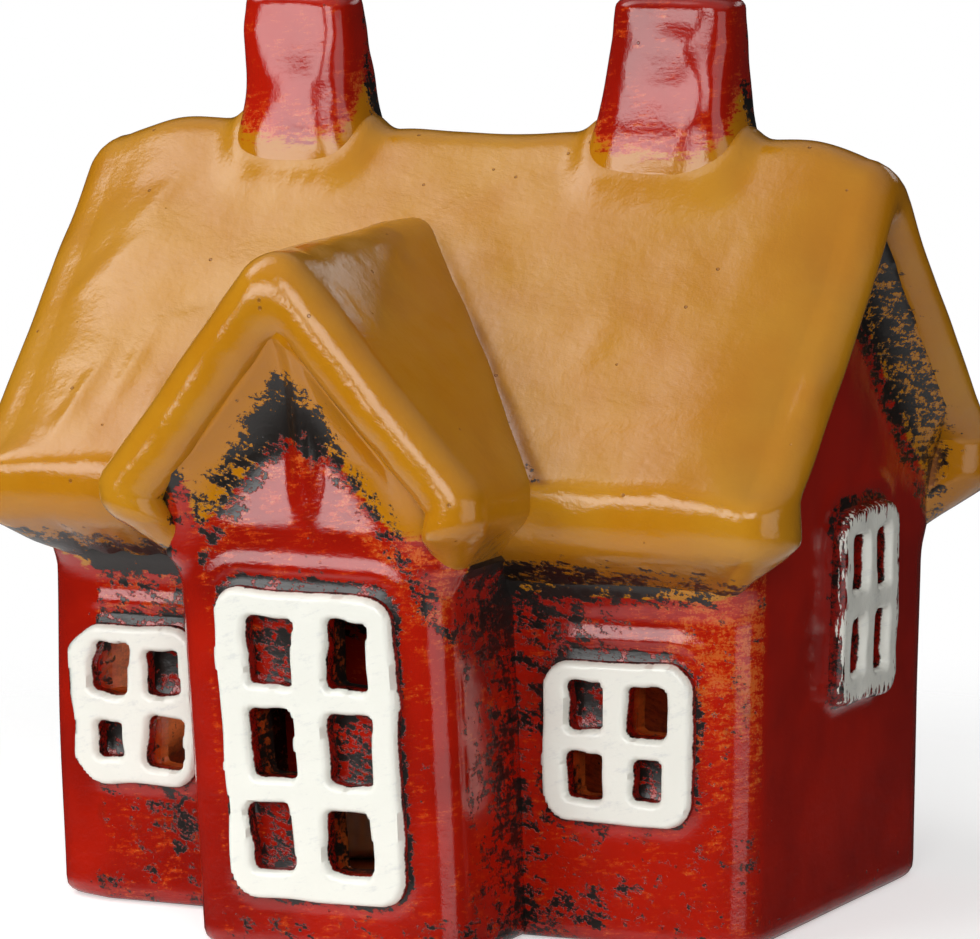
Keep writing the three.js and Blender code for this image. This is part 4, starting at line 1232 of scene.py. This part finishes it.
# metal: a brushed grain that runs round, darker in scuffs
def sheetMetal(name, colour, rough):
    material, at, shader = newMaterial(name)
    grain, scuff = at.noise(0.3, 3, 0.6, (1, 1, 9)), at.noise(4, 4)
    feed(shader, "Base Color", scuff.between(0.4, 0.75).mix(colour, [0.72 * c for c in colour]))
    feed(shader, "Metallic", 1.0)
    feed(shader, "Roughness", rough + grain * 0.12 + scuff * 0.1)
    feed(shader, "Normal", bump(grain, 0.02))
    return material


# wax: cloudy white with a soft sheen, a little scuffed
def paraffinWax():
    material, at, shader = newMaterial("paraffinWax")
    cloud, fine = at.noise(6, 4), at.noise(0.7, 3)
    feed(shader, "Base Color", cloud.between(0.35, 0.7).mix((0.82, 0.78, 0.68), (0.92, 0.90, 0.84)))
    feed(shader, "Roughness", 0.32 + cloud * 0.2)
    feed(shader, "Subsurface Weight", 0.3)
    feed(shader, "Subsurface Scale", 0.002)
    feed(shader, "Normal", bump(cloud * 0.6 + fine * 0.2, 0.12))
    return material


# cotton: pale threads, scorched towards the tip
def braidedCotton():
    material, at, shader = newMaterial("braidedCotton")
    thread = at.noise(0.35, 3, 0.6, (1, 1, 3))
    burnt = (at.part(2) * 1000 + thread * 3).between(*candle["burnt"])
    pale = thread.between(0.3, 0.7).mix((0.62, 0.56, 0.42), (0.86, 0.82, 0.70))
    feed(shader, "Base Color", burnt.mix(pale, (0.03, 0.025, 0.02)))
    feed(shader, "Roughness", 0.85)
    feed(shader, "Normal", bump(thread, 0.08))
    return material


# piece turned about the tealight's axis from one of its profiles; ripple(angle, height) scales the radius;
# a looped profile closes on itself, any other is closed by a flat face at either end
def turned(key, node, material, around, ripple=None, looped=False):
    profile = bentLine(*candle[key])
    angle = np.linspace(0, 2 * math.pi, around, endpoint=False)
    radius, height = (np.repeat(profile[:, k:k + 1], around, 1) for k in (0, 1))
    radius = radius * ripple(angle[None], height) if ripple else radius
    far, start, length = candle["bend"]
    bend = far * np.clip((height - start) / length, 0, 1) ** 2 if key == "wick" else 0.0
    points = np.stack([radius * np.cos(angle) + bend, radius * np.sin(angle), height], -1)
    points = (points + np.array(candle["at"])).reshape(-1, 3)
    rows = len(profile)
    faces = loopedQuads(rows, around) if looped else loopFaces(rows, around, False)
    addPiece("candle_" + key, points, faces, material, "tealight", (node,), {}, 55)


# cup with pleated sides and a rolled rim, wax with a meniscus, tab with a collar, twisted wick
def buildTealight():
    def pleats(angle, height):
        begin, end = candle["fluted"]
        side = smoothStep(*begin, height) * (1 - smoothStep(*end, height))
        return 1 + candle["flute"] / candle["radius"] * side * np.cos(candle["flutes"] * angle)

    def strands(angle, height):
        twist = 2 * math.pi * height / candle["strandTurn"]
        return 1 + candle["strand"] * np.cos(candle["strands"] * angle + twist)

    aluminium = sheetMetal("aluminium", (0.80, 0.81, 0.82), 0.22)
    tin = sheetMetal("tinPlate", (0.60, 0.60, 0.61), 0.3)
    turned("cup", "tealight_cup", aluminium, 4 * candle["flutes"], pleats)
    turned("wax", "tealight_wax", paraffinWax(), 96, None, True)
    turned("tab", "tealight_wick_tab", tin, 72, None, True)
    turned("wick", "tealight_wick", braidedCotton(), 36, strands)


buildTealight()
print("tealight built")

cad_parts["floor_slab"].data.materials.clear()
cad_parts["floor_slab"].data.materials.append(clayFinish)

stageSettings = {
    "radius": 0.24,
    "rings": 40,
    "spokes": 64,
    "sunk": 0.0002,
    "fade": 0.10,
    "colour": (0.9, 0.9, 0.89),
    "lift": 0.5,  # glow that the camera sees, and the one that mirrors see
    "mirrored": 0.3,
}


# round table top: rings of points, see-through towards its rim so that it has no edge
def buildTable():
    rings, spokes = stageSettings["rings"], stageSettings["spokes"]
    radius = np.linspace(0.002, stageSettings["radius"], rings)[:, None]
    angle = np.linspace(0, 2 * math.pi, spokes, endpoint=False)
    x, y = radius * np.cos(angle), radius * np.sin(angle)
    points = np.stack([x, y, np.full_like(x, -stageSettings["sunk"])], -1).reshape(-1, 3)
    mesh = bpy.data.meshes.new("table")
    mesh.from_pydata(points.tolist(), [], gridQuads(rings, spokes).tolist() + [list(range(spokes))])
    material, at, shader = newMaterial("tableTop")
    feed(shader, "Base Color", (*stageSettings["colour"], 1))
    feed(shader, "Roughness", 0.9)
    seen = at.ray("Camera") * stageSettings["lift"] + at.ray("Glossy") * stageSettings["mirrored"]
    feed(shader, "Emission Color", seen.node("ShaderNodeCombineXYZ", None, {0: seen, 1: seen, 2: seen}))
    feed(shader, "Emission Strength", 1.0)
    away = at.node("ShaderNodeVectorMath", {"operation": "LENGTH"}, {0: at}, 1)
    slant = at.node("ShaderNodeLayerWeight", None, {"Blend": 0.5}, "Facing")
    faded = away.between(stageSettings["fade"], stageSettings["radius"] - 0.01)
    feed(shader, "Alpha", (1 - faded) * (1 - at.ray("Glossy") * slant.between(0.5, 0.8)))
    mesh.materials.append(material)
    table = bpy.data.objects.new("table", mesh)
    bpy.context.scene.collection.objects.link(table)


# soft is the share of a lamp's size that fades at its left, right, lower and upper edge
lights = {
    "overhead": {
        "at": (-0.23, -0.12, 0.46), "to": (0.0, -0.02, 0.08), "size": (0.34, 0.46), "radiance": 4.2,
        "soft": (0.28, 0.28, 0.06, 0.8),
    },
    "frontLeft": {
        "at": (-0.25, -0.57, 0.20), "to": (0.0, 0.0, 0.07), "size": (0.32, 0.25), "radiance": 5.8,
        "soft": (0.03, 0.03, 0.03, 0.03),
    },
    "rightCard": {
        "at": (0.58, -0.32, 0.10), "to": (0.0, 0.0, 0.05), "size": (0.55, 0.50), "radiance": 1.5,
        "soft": (0.03, 0.03, 0.03, 0.03), "hiddenTo": ("diffuse",),
    },
    "frontFill": {
        "at": (0.34, -0.80, 0.34), "to": (0.0, 0.0, 0.06), "size": (0.40, 0.40), "radiance": 7.8,
        "soft": (0.1, 0.1, 0.1, 0.1), "hiddenTo": ("glossy", "camera"),
    },
    "highCard": {
        "at": (0.12, -0.74, 0.38), "to": (0.0, 0.0, 0.06), "size": (0.36, 0.40), "radiance": 5.2,
        "soft": (0.1, 0.1, 0.1, 0.1), "hiddenTo": ("diffuse", "camera"),
    },
    "backCard": {
        "at": (0.15, 0.74, 0.38), "to": (0.0, 0.0, 0.08), "size": (0.34, 0.14), "radiance": 1.3,
        "soft": (0.2, 0.2, 0.2, 0.2), "hiddenTo": ("diffuse", "camera"),
    },
    "doorGlow": {
        "at": (-0.004, 0.021, 0.034), "to": (-0.050, -0.006, 0.030), "size": (0.02, 0.03), "radiance": 9.0,
        "soft": (0.1, 0.1, 0.1, 0.1), "hiddenTo": ("glossy", "camera", "transmission"),
    },
}


# soft boxes: full in the middle, fading over a share of their size at each of their four edges
def buildLights():
    for name, light in lights.items():
        wide, tall = light["size"]
        lamp = bpy.data.lights.new(name, "AREA")
        lamp.shape, lamp.size, lamp.size_y = "RECTANGLE", wide, tall
        lamp.energy = light["radiance"] * math.pi * wide * tall
        lamp.use_nodes = True
        tree, (left, right, low, high) = lamp.node_tree, light["soft"]
        across = Value(tree, tree.nodes.new("ShaderNodeNewGeometry").outputs["Parametric"])
        u, v = across.part(0), across.part(1)
        glow = u.between(0, left) * v.between(0, low)
        glow = glow * (1 - u.between(1 - right, 1)) * (1 - v.between(1 - high, 1))
        feed(tree.nodes["Emission"], "Strength", glow)
        made = bpy.data.objects.new(name, lamp)
        for ray in light.get("hiddenTo", ()):
            setattr(made, "visible_" + ray, False)
        bpy.context.scene.collection.objects.link(made)
        place, goal = Vector(light["at"]), Vector(light["to"])
        turn = (goal - place).to_track_quat("-Z", "Y").to_matrix().to_4x4()
        made.matrix_world = Matrix.Translation(place) @ turn


# mirrors see a sky that brightens between two heights, all else gets an even fill
sky = {"rise": (0.35, 0.85), "low": 0.02, "gain": 0.48, "fill": 0.20}


# world: white to the camera, brighter to mirrors the higher they look, soft fill for the rest
def buildWorld():
    world = bpy.data.worlds.new("studio")
    bpy.context.scene.world = world
    world.use_nodes = True
    tree = world.node_tree
    aim = Value(tree, tree.nodes.new("ShaderNodeTexCoord").outputs["Generated"])
    plain, shiny = aim.ray("Camera").most(aim.ray("Transmission")), aim.ray("Glossy")
    seen = plain.most(shiny * (sky["low"] + aim.part(2).between(*sky["rise"]) * sky["gain"]))
    feed(tree.nodes["Background"], "Strength", seen + sky["fill"] * (1 - plain.most(shiny)))
    feed(tree.nodes["Background"], "Color", (1, 1, 1, 1))


# fitted to the photograph: angles in degrees, metres, pixels
cameraFit = {
    "azimuth": 23.95, "elevation": 8.09, "distance": 1.112, "focal": 7979.0, "width": 980,
    "target": (-0.00108, 0, 0.05904),
}


def buildCamera():
    a, e = math.radians(cameraFit["azimuth"]), math.radians(cameraFit["elevation"])
    back = Vector((math.sin(a) * math.cos(e), -math.cos(a) * math.cos(e), math.sin(e)))
    data = bpy.data.cameras.new("view")
    data.lens = data.sensor_width * cameraFit["focal"] / cameraFit["width"]
    camera = bpy.data.objects.new("view", data)
    bpy.context.scene.collection.objects.link(camera)
    right = Vector((math.cos(a), math.sin(a), 0))
    turn = Matrix((right, back.cross(right), back)).transposed().to_4x4()
    place = Vector(cameraFit["target"]) + Vector(houseMiddle) + back * cameraFit["distance"]
    camera.matrix_world = Matrix.Translation(place) @ turn
    bpy.context.scene.camera = camera


buildTable()
buildLights()
buildWorld()
buildCamera()
bpy.context.scene.view_settings.view_transform = "Standard"
print("table, lamps and camera placed")
